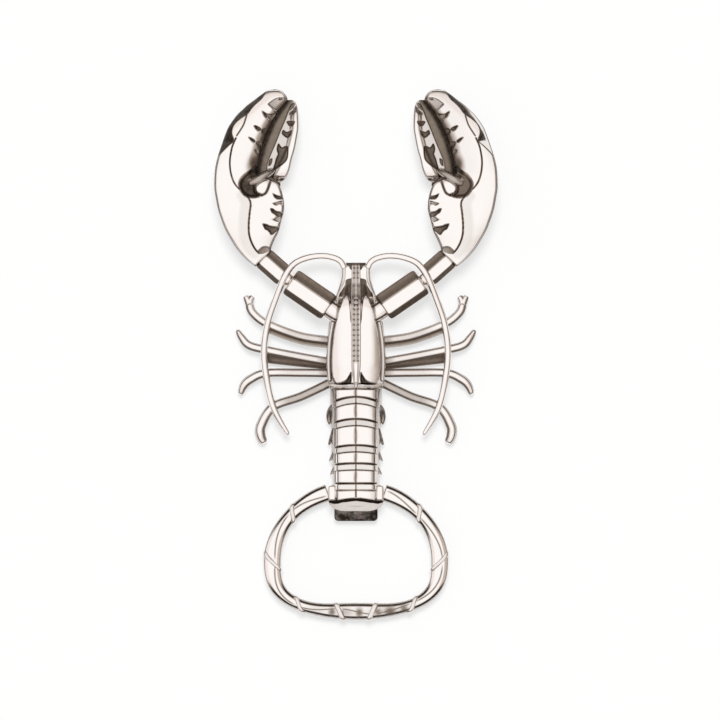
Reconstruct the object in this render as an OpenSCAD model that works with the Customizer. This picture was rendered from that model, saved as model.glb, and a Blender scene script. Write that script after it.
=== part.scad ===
// Bottle opener in the form of a lobster, made of plated castings and wires.
// It lies on its flat underside: +Y runs to the claws, +X to the right, +Z up.
// Lengths are in millimetres. Heights are measured from the table.

/* [Carapace] */
// Length of the carapace from its rear edge to the snout
carapace_length = 39; // [35:0.5:44]
// Width of the carapace at its widest
carapace_width = 18.8; // [16.5:0.1:21]
// Width of the carapace at its rear edge
waist_width = 16.4; // [14.5:0.1:17.5]
// Width across the shoulders, where the arms leave
shoulder_width = 14.2; // [13:0.1:16]
// Width of the neck behind the snout
neck_width = 7.2; // [6.4:0.1:9]
// Length of the narrow neck, up to the tip of the snout
neck_length = 6; // [5:0.1:7]
// Height of the crown
carapace_height = 13; // [11.5:0.1:15]
// Height of the head
head_height = 8.6; // [8:0.1:10]
// Height of the collar at the rear edge
collar_height = 9.8; // [9:0.1:11]
// Length of the collar, from the rear edge to the two lobes
collar_length = 1.9; // [1.4:0.1:2.4]
// Height of the side rim, which takes the legs
rim_height = 5; // [4.6:0.1:6]
// Width of the ledge between the side rim and the two lobes
ledge_width = 1.8; // [1:0.1:2.4]

/* [Back ridge] */
// Width of the ridge strip
ridge_width = 3; // [2.4:0.1:3.6]
// Depth of the slot for the ridge strip
slot_depth = 0.8; // [0.5:0.1:1.2]
// Height of the ridge strip above the crown
ridge_rise = 0.4; // [0.2:0.1:0.8]
// Distance of the first bead from the rear edge of the carapace
bead_start = 8.5; // [4:0.1:14]
// Spacing of the beads along the ridge
bead_pitch = 1.7; // [1.4:0.1:2.4]
// Height of each bead
bead_height = 0.5; // [0.3:0.1:0.8]

/* [Tail] */
// Lengths of the plates, from the carapace to the tail end
plate_lengths = [4.5, 6.8, 8.1, 5.6, 6.2]; // [4.5:0.1:9]
// Lengths of the side flaps of the plates, where 0 is none
flap_lengths = [0, 5.6, 5.2, 3, 2.4]; // [0:0.1:6]
// Length of the raised band at the rear of each plate
band_length = 1.8; // [1.2:0.1:2.4]
// Height of the raised band above its plate
band_rise = 0.4; // [0.2:0.1:0.6]
// Width of the first plate at its foot
tail_width = 16; // [14.5:0.1:17]
// Width that the plates lose from the first to the last
tail_taper = 1.6; // [0.8:0.1:2]
// Width of the flat-topped panel on each plate
panel_width = 12.6; // [11:0.1:13]
// Height of the first plate
tail_height = 9.4; // [8.6:0.1:10]
// Height of the lower edge of the plates
plate_foot = 1.2; // [0.8:0.1:2]
// How far the ends of a seam lie behind its middle, at its most
seam_sag = 1.3; // [0.4:0.1:1.8]
// How far the side flaps stand out from the plates
flap_reach = 0.9; // [0.5:0.1:1.2]
// Thickness of the side flaps
flap_thickness = 2; // [1.5:0.1:3]
// Width of the core bar
core_width = 8; // [7:0.1:9]
// Height of the core bar
core_height = 5; // [4.4:0.1:5.4]
// Length of the core bar inside the carapace and inside the tail end
core_tenon = 2.6; // [2:0.1:3]

/* [Tail end] */
// Length of the last segment
end_length = 3; // [2.8:0.1:5]
// Height of the last segment
end_height = 8; // [7:0.1:8.6]
// Width across the two ears
ear_span = 17.4; // [17:0.1:19]
// Length of the ears
ear_length = 5; // [4.6:0.1:5.6]
// How far the ears reach forward beside the last plate
ear_lead = 1.5; // [0.5:0.1:1.8]
// Height of the ears
ear_height = 6; // [5.6:0.1:7]
// Length of the ledge behind the last segment
ledge_length = 3.8; // [3:0.1:4.4]
// Height of the ledge
ledge_height = 4.6; // [4.2:0.1:5.4]

/* [Cap lip] */
// Width of the lip
lip_width = 13.4; // [11:0.1:14.4]
// Thickness of the lip
lip_thickness = 2.2; // [1.6:0.1:2.6]
// How far the lip stands out of the ledge
lip_reach = 3; // [2.4:0.1:4]
// Depth of the lip inside its slot
lip_seat = 2.4; // [1.6:0.1:3]
// Height of the underside of the lip
lip_level = 1.2; // [0.9:0.1:1.6]
// Radius of the corners of the lip
lip_corner = 1; // [0.5:0.1:1.5]
// How much of the thickness is bevelled off the tip of the lip
lip_bevel = 0.8; // [0.4:0.1:1.2]

/* [Opener ring] */
// Width of the hoop along its centre line
ring_width = 51.8; // [46:0.2:58]
// Rise of the centre line from the widest place to the top of its arch
ring_rise = 22.4; // [20:0.2:26]
// Drop of the centre line from the widest place to the bar
ring_drop = 15.6; // [13:0.2:19]
// Squareness of the lower corners, where 2 is an ellipse
ring_squareness = 2.8; // [2:0.1:3.4]
// Width of the hoop band at the sides and the bar
ring_band = 5.2; // [4.6:0.1:6]
// Width that the band loses at the lower corners
ring_waist = 1.6; // [0:0.1:2]
// Thickness of the hoop band
ring_thickness = 4.2; // [3.6:0.1:4.8]
// Diameter of the tenons that hold the hoop
ring_tenon = 2.2; // [1.8:0.1:2.4]
// Length of the tenons that hold the hoop
ring_tenon_length = 2; // [1.5:0.1:2.2]
// Width of the lashing strap
lashing_width = 1; // [0.6:0.1:1.4]
// Thickness of the lashing strap
lashing_thickness = 0.5; // [0.3:0.1:0.7]
// Places of the lashings along one half of the hoop, as shares of its length
lashing_places = [0.2, 0.46, 0.72, 0.92]; // [0.1:0.01:0.95]
// Slant of each lashing along the hoop, from its outer to its inner edge
lashing_slants = [3.2, 5, -2.6, -2.2]; // [-5:0.1:5]

/* [Arms] */
// Distance of the shoulder behind the snout
shoulder_setback = 14.6; // [13.5:0.1:16]
// Height of the arm axis
arm_level = 5; // [4.8:0.1:5.6]
// Diameter of the shoulder plug
shoulder_diameter = 5.6; // [5:0.1:6.2]
// Bare length of the shoulder plug
shoulder_length = 2.2; // [2:0.1:3]
// Depth of the shoulder plug inside the carapace
shoulder_depth = 3.4; // [2.6:0.1:3.8]
// Diameter of the upper arm
upper_arm_diameter = 9; // [8:0.1:9.4]
// Length of the upper arm
upper_arm_length = 12.6; // [11:0.1:15]
// Angle of the upper arm from the cross axis
upper_arm_angle = 34.5; // [30:0.5:38]
// Diameter of the elbow spool
elbow_diameter = 5.2; // [4.8:0.1:5.8]
// Bare length of the elbow spool
elbow_length = 4.4; // [4:0.1:5.5]
// Diameter of the forearm
forearm_diameter = 7.2; // [6.4:0.1:7.8]
// Length of the forearm
forearm_length = 7.2; // [6:0.1:9]
// Angle of the forearm from the cross axis
forearm_angle = 41.5; // [38:0.5:45]
// Diameter of the tenons inside the arm pieces
arm_tenon = 3.6; // [3:0.1:4]
// Length of the tenons inside the arm pieces
arm_tenon_length = 2.6; // [2:0.1:3]
// Radius of the rounded arm ends
arm_round = 0.6; // [0.3:0.1:1]

/* [Claws] */
// Length of the claw from the wrist to the tip
claw_length = 53; // [47:0.2:60]
// Width of the palm
claw_width = 21.6; // [19:0.1:24]
// Height of the palm
claw_height = 12; // [10.5:0.1:13.5]
// Height of the floor between the two fingers
floor_height = 3; // [2.4:0.1:3.6]
// Height of the thumb
thumb_height = 9.4; // [8.4:0.1:11]
// Depth of the grooves between the claw teeth
tooth_depth = 1.1; // [0.5:0.1:1.4]
// Diameter of the thumb peg
thumb_peg = 2.4; // [2:0.1:3]

/* [Legs and antennae] */
// Diameter of the legs at their roots
leg_diameter = 2.6; // [2:0.1:2.8]
// Diameter of the leg tips
leg_tip = 1.8; // [1:0.1:2.2]
// Height of the leg axis at the carapace
leg_level = 3.2; // [2.8:0.1:3.4]
// Depth of the leg sockets
leg_socket = 2; // [1.5:0.1:2.5]
// Diameter of the antenna wire
antenna_diameter = 1.8; // [1.5:0.1:2.2]
// Diameter of the antenna wire at its free end
antenna_tip = 1.2; // [0.8:0.1:1.6]
// Height of the antenna axis at the snout
antenna_level = 7; // [6.6:0.1:7.4]
// Angle from the cross axis at which the antenna leaves the snout
antenna_angle = 45; // [40:1:55]
// Depth of the antenna sockets
antenna_socket = 2; // [1.5:0.1:2.4]
// Rise of the antenna arch in front of the arm
antenna_arch = 5; // [4:0.1:6.5]

/* [Fits] */
// Gap around every tenon, plug and peg
fit = 0.1; // [0.05:0.01:0.2]
// Gap between faces that meet
seat = 0.05; // [0.02:0.01:0.1]

/* [Hidden] */
$fn = 48;
plates = len(plate_lengths);
sides = ["left", "right"];
over = 1;

// Smooth run of vectors through the keys, with a number of steps for each span.
function blend(a, b, c, d, t) =
    b + 0.5 * t * (c - a + t * (2 * a - 5 * b + 4 * c - d + t * (3 * b - a - 3 * c + d)));
function smooth_run(keys, steps) = [
    for (i = [0 : len(keys) - 2], j = [0 : steps - 1])
        blend(keys[max(i - 1, 0)], keys[i], keys[i + 1], keys[min(i + 2, len(keys) - 1)], j / steps),
    keys[len(keys) - 1]
];
function unit(v) = v / norm(v);
function heading(a) = [cos(a), sin(a), 0];
function total(list, count) = count <= 0 ? 0 : list[count - 1] + total(list, count - 1);
function column(rows, key, value) = [for (r = rows) [r[key], r[value]]];

// Solid through a list of rings that have the same number of points.
// The first point of a ring sees all others.
module skin(rings, closed = false) {
    m = len(rings[0]);
    n = len(rings);
    spans = closed ? n : n - 1;
    quads = [for (i = [0 : spans - 1], j = [0 : m - 1])
        [i * m + j, i * m + (j + 1) % m, ((i + 1) % n) * m + (j + 1) % m, ((i + 1) % n) * m + j]];
    walls = [for (q = quads) each [[q[0], q[1], q[2]], [q[0], q[2], q[3]]]];
    first = [for (j = [0 : m - 1]) (m - j) % m];
    last = [for (j = [0 : m - 1]) (n - 1) * m + j];
    polyhedron([for (r = rings) each r], closed ? walls : concat([first], walls, [last]));
}

// Round rod along a path of [x, y, z, radius].
module rod(path, points = 8) {
    n = len(path);
    place = [for (p = path) [p[0], p[1], p[2]]];
    skin([for (i = [0 : n - 1])
        let (
            along = unit(place[min(i + 1, n - 1)] - place[max(i - 1, 0)]),
            across = unit(cross(along, [0, 0, 1])),
            up = cross(across, along)
        )
        [for (j = [0 : points - 1])
            place[i] + path[i][3] * (cos(360 * j / points) * across + sin(360 * j / points) * up)]
    ]);
}

// Rod or bore along an axis in the level plane, from one distance to another.
module bar(start, angle, from, to, diameter) {
    translate(start + from * heading(angle))
        rotate([0, 90, angle])
            cylinder(d = diameter, h = to - from);
}

// Turned piece along an axis in the level plane, from a profile of [radius, distance].
module turned(start, angle, profile) {
    translate(start)
        rotate([0, 90, angle])
            rotate_extrude()
                polygon(profile);
}

// Profile of a turned sleeve with rounded ends.
function sleeve(from, to, radius, round) = [
    [0, from],
    [radius - round, from],
    [radius - 0.3 * round, from + 0.3 * round],
    [radius, from + round],
    [radius, to - round],
    [radius - 0.3 * round, to - 0.3 * round],
    [radius - round, to],
    [0, to]
];

module on(side) {
    mirror([side == "left" ? 1 : 0, 0, 0])
        children();
}

module placed() {
    translate([0, -(claw_tip + ring_end) / 2, 0])
        children();
}

// Carapace sections as [y, half width, ledge width, crown height].
shoulder_y = carapace_length - shoulder_setback;
neck_y = carapace_length - neck_length;
body_keys = [
    [collar_length, waist_width / 2 + 0.4, ledge_width, carapace_height - 1.4],
    [carapace_length * 0.2, carapace_width / 2, ledge_width, carapace_height - 0.3],
    [carapace_length * 0.4, carapace_width / 2 - 0.5, ledge_width, carapace_height],
    [shoulder_y, shoulder_width / 2 + 0.5, ledge_width, carapace_height - 0.6],
    [shoulder_y + 4.6, shoulder_width / 2 - 1, ledge_width, head_height + 1.8],
    [neck_y, neck_width / 2 + 0.3, 0.6, head_height],
    [neck_y + 2.6, neck_width / 2, 0.5, head_height],
    [carapace_length, neck_width / 2 + 0.2, 0.5, head_height - 0.3]
];
collar_keys = [
    [0, waist_width / 2, 0.8, collar_height],
    [collar_length - 0.5, waist_width / 2 + 0.2, 0.8, collar_height]
];
body_run = concat(collar_keys, smooth_run(body_keys, 4));
body_halves = column(body_run, 0, 1);
body_crowns = column(body_run, 0, 3);
function slot_half(y) = max(min(ridge_width / 2, 0.2 + (y - collar_length) * 0.4), 0.2);
slot_halves = [for (s = body_run) [s[0], slot_half(s[0])]];
function body_side(s) =
    let (
        w = s[1],
        foot = rim_height + 0.9,
        lobe = w - s[2],
        slot = slot_half(s[0]),
        lip = slot + 0.3,
        end = acos(lip / lobe)
    )
    concat(
        [[w - 0.8, 0], [w, 0.8], [w, rim_height], [w - 0.35 * s[2], foot - 0.2]],
        [for (k = [0 : 6]) [lobe * cos(end * k / 6), foot + (s[3] - foot) * pow(sin(end * k / 6), 0.8)]],
        [[slot, s[3] - slot_depth]]
    );
function body_ring(s) =
    let (half = body_side(s))
    concat(
        [[0, s[0], 0]],
        [for (p = half) [p[0], s[0], p[1]]],
        [for (k = [len(half) - 1 : -1 : 0]) [-half[k][0], s[0], half[k][1]]]
    );

// Leg shapes as [root y, middle, knee, bend, hook, tip], each place counted from the root.
leg_shapes = [
    [15, [8.4, 1.3], [18.4, 5], [22.8, 8.3], [24, 11], [24.2, 13.7]],
    [8.5, [8, 1.4], [19, 3.6], [23.8, 5], [26, 7.4], [27.5, 9.9]],
    [4.8, [8.2, 0.1], [18.8, 0], [23.6, -1.9], [25.8, -4], [26.8, -6.8]],
    [1.6, [8.5, -4], [17.1, -7.2], [20.9, -12.9], [21, -16.3], [19.8, -18.6]]
];

function leg_root(i) = [lookup(leg_shapes[i][0], body_halves), leg_shapes[i][0], leg_level];
function leg_angle(i) = atan2(leg_shapes[i][1][1] / 2, leg_shapes[i][1][0]);
function leg_place(i, k) = leg_root(i) + [leg_shapes[i][k][0], leg_shapes[i][k][1], 0];
function leg_path(i) =
    let (
        thick = leg_diameter / 2,
        thin = leg_tip / 2,
        root = leg_root(i),
        keys = [
            concat(root + heading(leg_angle(i)), [thick]),
            concat(leg_place(i, 1), [thick]),
            concat(leg_place(i, 2), [thick]),
            concat(leg_place(i, 3) - [0, 0, 0.3], [thick]),
            concat(leg_place(i, 4) - [0, 0, 0.8], [(2 * thick + thin) / 3]),
            concat(leg_place(i, 5) - [0, 0, 1.4], [thin])
        ]
    )
    concat([concat(root - (leg_socket - seat) * heading(leg_angle(i)), [thick])], smooth_run(keys, 4));

// Arm places along the chain from the shoulder to the wrist.
shoulder = [lookup(shoulder_y, body_halves), shoulder_y, arm_level];
upper_start = shoulder_length;
upper_end = upper_start + upper_arm_length;
elbow = shoulder + (upper_end + elbow_length / 4) * heading(upper_arm_angle);
elbow_reach = elbow_length * 3 / 4;
wrist_at = elbow_reach + forearm_length + seat;
wrist = elbow + wrist_at * heading(forearm_angle);
claw_tip = wrist[1] + claw_length;

// Claw sections as shares: [length, inner edge, outer edge, height, outer bevel, slope into the gap].
palm_keys = [
    [-0.05, 0.05, 0.1, 0.7, 0, 0],
    [0, -0.04, 0.26, 0.76, 0, 0],
    [0.06, -0.1, 0.4, 0.82, 0, 0],
    [0.14, -0.18, 0.53, 0.9, 0, 0],
    [0.23, -0.29, 0.62, 0.97, 0, 0],
    [0.33, -0.31, 0.675, 1, 0, 0],
    [0.43, -0.31, 0.695, 1, 0, 0]
];
finger_keys = [
    [0.46, 0.06, 0.695, 0.98, 0, 0.02],
    [0.58, 0.05, 0.645, 0.92, 0.01, 0.14],
    [0.69, -0.03, 0.54, 0.85, 0.13, 0.18],
    [0.79, -0.14, 0.41, 0.77, 0.09, 0.17],
    [0.89, -0.29, 0.2, 0.64, 0.11, 0.14],
    [0.95, -0.345, 0.02, 0.52, 0.05, 0.06],
    [1, -0.26, -0.16, 0.38, 0, 0]
];
// Grooves between the claw teeth, as shares of the claw from the blade to the gap.
claw_grooves = [
    [[-0.12, 0.37, 0.96], [-0.333, 0.349, 0.88]],
    [[-0.106, 0.285, 0.95], [-0.333, 0.253, 0.87]],
    [[0.01, 0.189, 0.91], [-0.26, 0.151, 0.8]],
    [[0.023, 0.855, 0.68], [-0.157, 0.81, 0.54]],
    [[0.125, 0.768, 0.77], [-0.033, 0.726, 0.63]],
    [[0.2, 0.695, 0.83], [0.023, 0.656, 0.68]]
];
// Outline of the hollow at the root of the finger, and its depth share.
hollow_outline = [[0.3, 0.475], [0.2, 0.487], [0.13, 0.43], [0.1, 0.36], [0.24, 0.35], [0.34, 0.41]];
hollow_depth = 0.28;
thumb_keys = [
    [0.46, -0.345, -0.15, 0.5],
    [0.52, -0.4, -0.09, 0.85],
    [0.6, -0.475, -0.16, 1],
    [0.68, -0.52, -0.24, 0.94],
    [0.75, -0.53, -0.295, 0.85],
    [0.82, -0.515, -0.35, 0.73],
    [0.88, -0.49, -0.385, 0.62],
    [0.92, -0.47, -0.43, 0.5]
];

// Share of a tooth notch at one place between the first and the last tooth.
function notch(place, first, last, count) =
    place <= first || place >= last ? 0 : 1 - abs(sin(180 * count * (place - first) / (last - first)));
function thumb_edge(k) = k[2] * claw_width - 0.7 * tooth_depth * notch(k[0], 0.56, 0.88, 5);

// Rounded section on a level base, at y, from x0 to x1.
function dome(y, x0, x1, base, top) =
    let (
        w = (x1 - x0) / 2,
        c = (x1 + x0) / 2,
        in = min(0.8, w / 2),
        rise = min(0.8, (top - base) / 3)
    )
    concat(
        [[c + w - in, y, base]],
        [for (k = [0 : 10])
            [c + w * cos(18 * k), y, base + rise + (top - base - rise) * pow(abs(sin(18 * k)), 0.75)]],
        [[c - w + in, y, base]]
    );

// Section of a claw, almost flat on top, with a bevel outside and a slope into the gap.
function claw_ring(k) =
    let (
        y = k[0] * claw_length,
        x0 = k[1] * claw_width,
        x1 = k[2] * claw_width,
        w = x1 - x0,
        edge = min(0.8, 0.1 * w),
        bevel = min(k[4] * claw_width, 0.22 * w),
        slope = min(k[5] * claw_width, 0.28 * w),
        top = k[3] * claw_height,
        fall = 0.06 * w,
        z1 = top - fall - 0.75 * bevel,
        z0 = top - fall - 0.5 * slope,
        right = x1 - bevel - edge - 0.1 * w,
        left = x0 + slope + edge + 0.1 * w
    )
    [
        [x1 - edge, y, 0], [x1, y, edge], [x1, y, z1 - edge], [x1 - 0.3 * edge, y, z1 - 0.3 * edge],
        [x1 - edge, y, z1], [right, y, top - 0.55 * fall], [(left + right) / 2, y, top],
        [left, y, top - 0.55 * fall], [x0 + edge, y, z0], [x0 + 0.3 * edge, y, z0 - 0.3 * edge],
        [x0, y, z0 - edge], [x0, y, edge], [x0 + edge, y, 0]
    ];
function claw_point(p) = [p[0] * claw_width, p[1] * claw_length, p[2] * claw_height];
function thumb_ring(k, outer) =
    dome(k[0] * claw_length, k[1] * claw_width, outer, floor_height + seat, k[3] * thumb_height);

palm_run = smooth_run(palm_keys, 5);
finger_run = smooth_run(finger_keys, 5);
thumb_run = smooth_run(thumb_keys, 4);
peg_at = [-0.25 * claw_width, 0.57 * claw_length];

// Places along the tail, counted back from the rear edge of the carapace.
function plate_start(i) = -total(plate_lengths, i - 1);
function plate_half(i) = (tail_width - tail_taper * (i - 1) / (plates - 1)) / 2;
function plate_top(i) = tail_height - (tail_height - end_height) * (i - 1) / plates;
function sag(k) = k == 0 ? 0 : seam_sag * (plates - k) / (plates - 1);
end_start = plate_start(plates + 1);
end_back = end_start - end_length;
ear_half = ear_span / 2;
ear_front = end_start + ear_lead;
ear_back = ear_front - ear_length;
ledge_back = end_back - ledge_length;
tenon_y = end_start - 0.4 - ring_tenon / 2;

// Hoop centre line by its length from the ear to the middle of the bar.
ring_half = ring_width / 2;
ring_middle = (ear_front + ear_back) / 2 - ring_rise * sqrt(1 - pow(ear_half / ring_half, 2));
arch_start = acos(ear_half / ring_half);
hoop_points = concat(
    [for (k = [0 : 24]) let (a = arch_start * (1 - k / 24)) [ring_half * cos(a), ring_rise * sin(a)]],
    [for (k = [1 : 40])
        let (a = 90 * pow(k / 40, 1.4), s = 2 / ring_squareness)
        [ring_half * pow(cos(a), s), -ring_drop * pow(sin(a), s)]]
);
function hoop_length(k) = k == 0 ? 0 : hoop_length(k - 1) + norm(hoop_points[k] - hoop_points[k - 1]);
hoop_total = hoop_length(len(hoop_points) - 1);
hoop_x = [for (k = [0 : len(hoop_points) - 1]) [hoop_length(k), hoop_points[k][0]]];
hoop_y = [for (k = [0 : len(hoop_points) - 1]) [hoop_length(k), hoop_points[k][1]]];
side_share = hoop_length(24) / hoop_total;

// A length past the middle of the bar runs up the other half.
function hoop_at(s) =
    let (t = min(s, 2 * hoop_total - s))
    [(s <= hoop_total ? 1 : -1) * lookup(t, hoop_x), ring_middle + lookup(t, hoop_y), 0];
function hoop_along(s) = unit(hoop_at(min(s + 0.6, 2 * hoop_total)) - hoop_at(max(s - 0.6, 0)));
function hoop_out(s) = cross([0, 0, 1], -hoop_along(s));
function hoop_band(s) =
    let (share = min(s, 2 * hoop_total - s) / hoop_total)
    share < side_share
    ? ring_band - 0.6 * ring_waist * pow(sin(180 * share / side_share), 2)
    : ring_band - ring_waist * pow(sin(180 * (share - side_share) / (1 - side_share)), 2);

// Outline of the hoop band as [across share, height share].
band_outline = [
    [0.36, 0], [0.5, 0.14], [0.5, 0.5], [0.32, 0.8], [0.1, 1],
    [-0.1, 1], [-0.32, 0.8], [-0.5, 0.5], [-0.5, 0.14], [-0.36, 0]
];
lashing_off = 1.2 * (lashing_thickness / 2 + seat);
ring_level = lashing_off + (lashing_thickness + ring_thickness) / 2 + 2 * seat;
function band_point(s, p, grow) =
    hoop_at(s) + hoop_out(s) * p[0] * (hoop_band(s) + 2 * grow)
    + [0, 0, ring_level + (p[1] - 0.5) * (ring_thickness + 2 * grow)];
function band_ring(s) = [for (p = band_outline) band_point(s, p, 0)];
function ear_ring(s) =
    [for (p = band_ring(s)) [(s < hoop_total ? 1 : -1) * (ear_half + seat), p[1], p[2]]];
function lashing_place(n, p) = lashing_places[n] * hoop_total + lashing_slants[n] * p[0];
function lashing_loop(n) = [for (p = band_outline) band_point(lashing_place(n, p), p, lashing_off)];
lashing_rears = [for (n = [0 : len(lashing_places) - 1], p = lashing_loop(n)) p[1]];
ring_end = min(lashing_rears) - lashing_thickness / 2;

// Places where the antennae are held and where they rest.
antenna_root = [neck_width / 2, carapace_length - 1.8, antenna_level];
antenna_rest = elbow + elbow_length * 0.4 * heading(forearm_angle)
    + [0, 0, (elbow_diameter + antenna_diameter) / 2 + 2 * seat];
antenna_lift = [0, 0, (leg_diameter + antenna_diameter) / 2 + seat];
function antenna_bow(u) =
    antenna_root + (antenna_rest - antenna_root) * u + [0, antenna_arch * pow(4 * u * (1 - u), 0.55), 0];
antenna_keys = concat(
    [for (u = [0, 0.06, 0.18, 0.38, 0.62, 0.84, 1]) concat(antenna_bow(u), [antenna_diameter / 2])],
    [for (i = [0 : 3]) concat(leg_place(i, 2) + antenna_lift, [antenna_diameter / 2])],
    [concat(leg_place(3, 2) + antenna_lift + [-4.8, -8.8, -1], [antenna_tip / 2])]
);

module carapace() {
    color("silver")
        difference() {
            skin([for (s = body_run) body_ring(s)]);
            translate([-core_width / 2 - fit, -over, -over])
                cube([core_width + 2 * fit, core_tenon + fit + over, core_height + fit + over]);
            for (side = sides)
                on(side) {
                    bar(shoulder, upper_arm_angle, -shoulder_depth, 3 * over, shoulder_diameter + 2 * fit);
                    bar(antenna_root, antenna_angle, -antenna_socket, 3 * over, antenna_diameter + 2 * fit);
                    for (i = [0 : 3])
                        bar(leg_root(i), leg_angle(i), -leg_socket, 2 * over, leg_diameter + 2 * fit);
                }
        }
}

module back_ridge() {
    length = carapace_length - 0.2 - collar_length;
    steps = floor(length / bead_pitch) * 4;
    color("gainsboro")
        skin([for (k = [0 : steps])
            let (
                y = collar_length + seat + length * k / steps,
                half = lookup(y, slot_halves) - seat,
                low = lookup(y, body_crowns) - slot_depth + seat,
                high = lookup(y, body_crowns) + ridge_rise,
                bead = y > bead_start ? bead_height * abs(sin(180 * (y - bead_start) / bead_pitch)) : 0
            )
            [
                [half, y, low], [half + 0.2, y, high - 0.3], [half * 0.8, y, high],
                [half * 0.5, y, high], [0, y, high + bead], [-half * 0.5, y, high],
                [-half * 0.8, y, high], [-half - 0.2, y, high - 0.3], [-half, y, low]
            ]
        ]);
}

module tail_core() {
    color("silver")
        translate([-core_width / 2, end_start - core_tenon, 0])
            cube([core_width, 2 * core_tenon - end_start, core_height]);
}

// Outline across the tail, with a rounded panel on top and straight flanks.
module tail_outline(top, flank, foot, low) {
    drop = 2;
    radius = (pow(flank, 2) + pow(drop, 2)) / (2 * drop);
    intersection() {
        translate([0, top - radius])
            circle(radius, $fn = 96);
        polygon([[-foot, low], [foot, low], [foot - 0.3, low + 2.4], [flank, top], [-flank, top],
            [-foot + 0.3, low + 2.4]]);
    }
}

// Everything behind the seam that has its middle at y. The first and the last seam are straight.
module behind(y, bow) {
    radius = bow > 0 ? (pow(panel_width / 2, 2) + pow(bow, 2)) / (2 * bow) : tail_width;
    if (bow > 0)
        translate([0, y - radius, -over])
            cylinder(r = radius, h = tail_height + 4 * over, $fn = 96);
    else
        translate([-radius, y - 2 * radius, -over])
            cube([2 * radius, 2 * radius, tail_height + 4 * over]);
}

// Stretch of tail between two seams.
module tail_stretch(i, from, to, bow_from, bow_to, grow) {
    difference() {
        intersection() {
            translate([0, from + over, 0])
                rotate([90, 0, 0])
                    linear_extrude(from - to + 4 * over)
                        tail_outline(
                            plate_top(i) + grow, panel_width / 2 + grow / 2,
                            plate_half(i) + grow, plate_foot
                        );
            behind(from, bow_from);
        }
        behind(to, bow_to);
    }
}

module flap(i, start) {
    foot = plate_half(i);
    length = flap_lengths[i - 1];
    back = start - 1.8 * sag(i - 1) - 0.3;
    translate([0, 0, plate_foot])
        linear_extrude(flap_thickness)
            polygon([[foot - 1, back], [foot - 0.2, back], [foot + flap_reach, back - 0.6 * length],
                [foot + 0.8 * flap_reach, back - length], [foot - 1, back - 0.7 * length]]);
}

module tail_plate(i) {
    start = plate_start(i) - seat;
    end = plate_start(i + 1);
    color("gainsboro")
        difference() {
            union() {
                tail_stretch(i, start, end, sag(i - 1), sag(i), 0);
                tail_stretch(i, end + band_length, end, sag(i), sag(i), band_rise);
                if (flap_lengths[i - 1] > 0)
                    for (side = sides)
                        on(side)
                            flap(i, start);
            }
            translate([-core_width / 2 - fit, end - 4 * over, -over])
                cube([core_width + 2 * fit, start - end + 8 * over, core_height + seat + over]);
        }
}

module tail_end() {
    inner = panel_width / 2 - over;
    step = plate_half(plates) + band_rise + 2 * fit;
    color("silver")
        difference() {
            union() {
                translate([0, end_start - seat, 0])
                    rotate([90, 0, 0])
                        linear_extrude(end_length)
                            tail_outline(end_height, panel_width / 2, panel_width / 2, 0);
                for (side = sides)
                    on(side)
                        linear_extrude(ear_height)
                            polygon([
                                [inner, end_start - 2 * seat], [step, end_start - 2 * seat],
                                [step, ear_front], [ear_half, ear_front], [ear_half, ear_back],
                                [inner, ear_back]
                            ]);
                intersection() {
                    translate([-ear_half, ledge_back, 0])
                        cube([2 * ear_half, ledge_length + over, ledge_height]);
                    translate([0, ledge_back + 22, -over])
                        cylinder(r = 22, h = ledge_height + 2 * over, $fn = 96);
                    translate([0, end_back + over - 6, -over])
                        cylinder(r = ear_half, h = ledge_height + 2 * over, $fn = 96);
                }
            }
            translate([-core_width / 2 - fit, end_start - core_tenon - fit, -over])
                cube([core_width + 2 * fit, core_tenon + 4 * over, core_height + fit + over]);
            translate([-lip_width / 2 - fit, ledge_back - over, lip_level - seat])
                cube([lip_width + 2 * fit, lip_seat + fit + over, lip_thickness + 2 * seat]);
            for (side = sides)
                on(side)
                    bar([ear_half, tenon_y, ring_level], 0, -ring_tenon_length, over, ring_tenon + 2 * fit);
        }
}

module cap_lip() {
    half = lip_width / 2;
    tip = ledge_back - lip_reach;
    color("dimgray")
        difference() {
            translate([0, 0, lip_level])
                linear_extrude(lip_thickness) {
                    translate([-half, tip + lip_corner])
                        square([lip_width, lip_reach + lip_seat - lip_corner]);
                    translate([-half + lip_corner, tip])
                        square([lip_width - 2 * lip_corner, lip_corner * 2]);
                    for (x = [-half + lip_corner, half - lip_corner])
                        translate([x, tip + lip_corner])
                            circle(lip_corner);
                }
            translate([-half - over, tip, lip_level + lip_thickness - lip_bevel])
                rotate([25, 0, 0])
                    translate([0, -lip_reach, 0])
                        cube([lip_width + 2 * over, lip_reach + 2.25 * lip_bevel, lip_reach]);
        }
}

module opener_ring() {
    count = 84;
    places = [for (k = [0 : count]) 2 * hoop_total * k / count];
    color("silver") {
        skin([for (s = places) s == 0 || s == 2 * hoop_total ? ear_ring(s) : band_ring(s)]);
        for (side = sides)
            on(side)
                bar([ear_half, tenon_y, ring_level], 0, seat - ring_tenon_length, 1.5 * over, ring_tenon);
    }
}

module lashing(n) {
    loop = lashing_loop(n);
    m = len(loop);
    skin([for (k = [0 : m - 1])
        let (
            along = unit(loop[(k + 1) % m] - loop[(k + m - 1) % m]),
            middle = hoop_at(lashing_place(n, band_outline[k])) + [0, 0, ring_level],
            across = unit(cross(along, loop[k] - middle)),
            out = cross(across, along)
        )
        [for (j = [0 : 5])
            loop[k] + lashing_thickness / 2 * cos(60 * j) * out - lashing_width / 2 * sin(60 * j) * across]
    ], true);
}

module ring_lashings() {
    color("gainsboro")
        for (side = sides, n = [0 : len(lashing_places) - 1])
            on(side)
                lashing(n);
}

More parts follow.
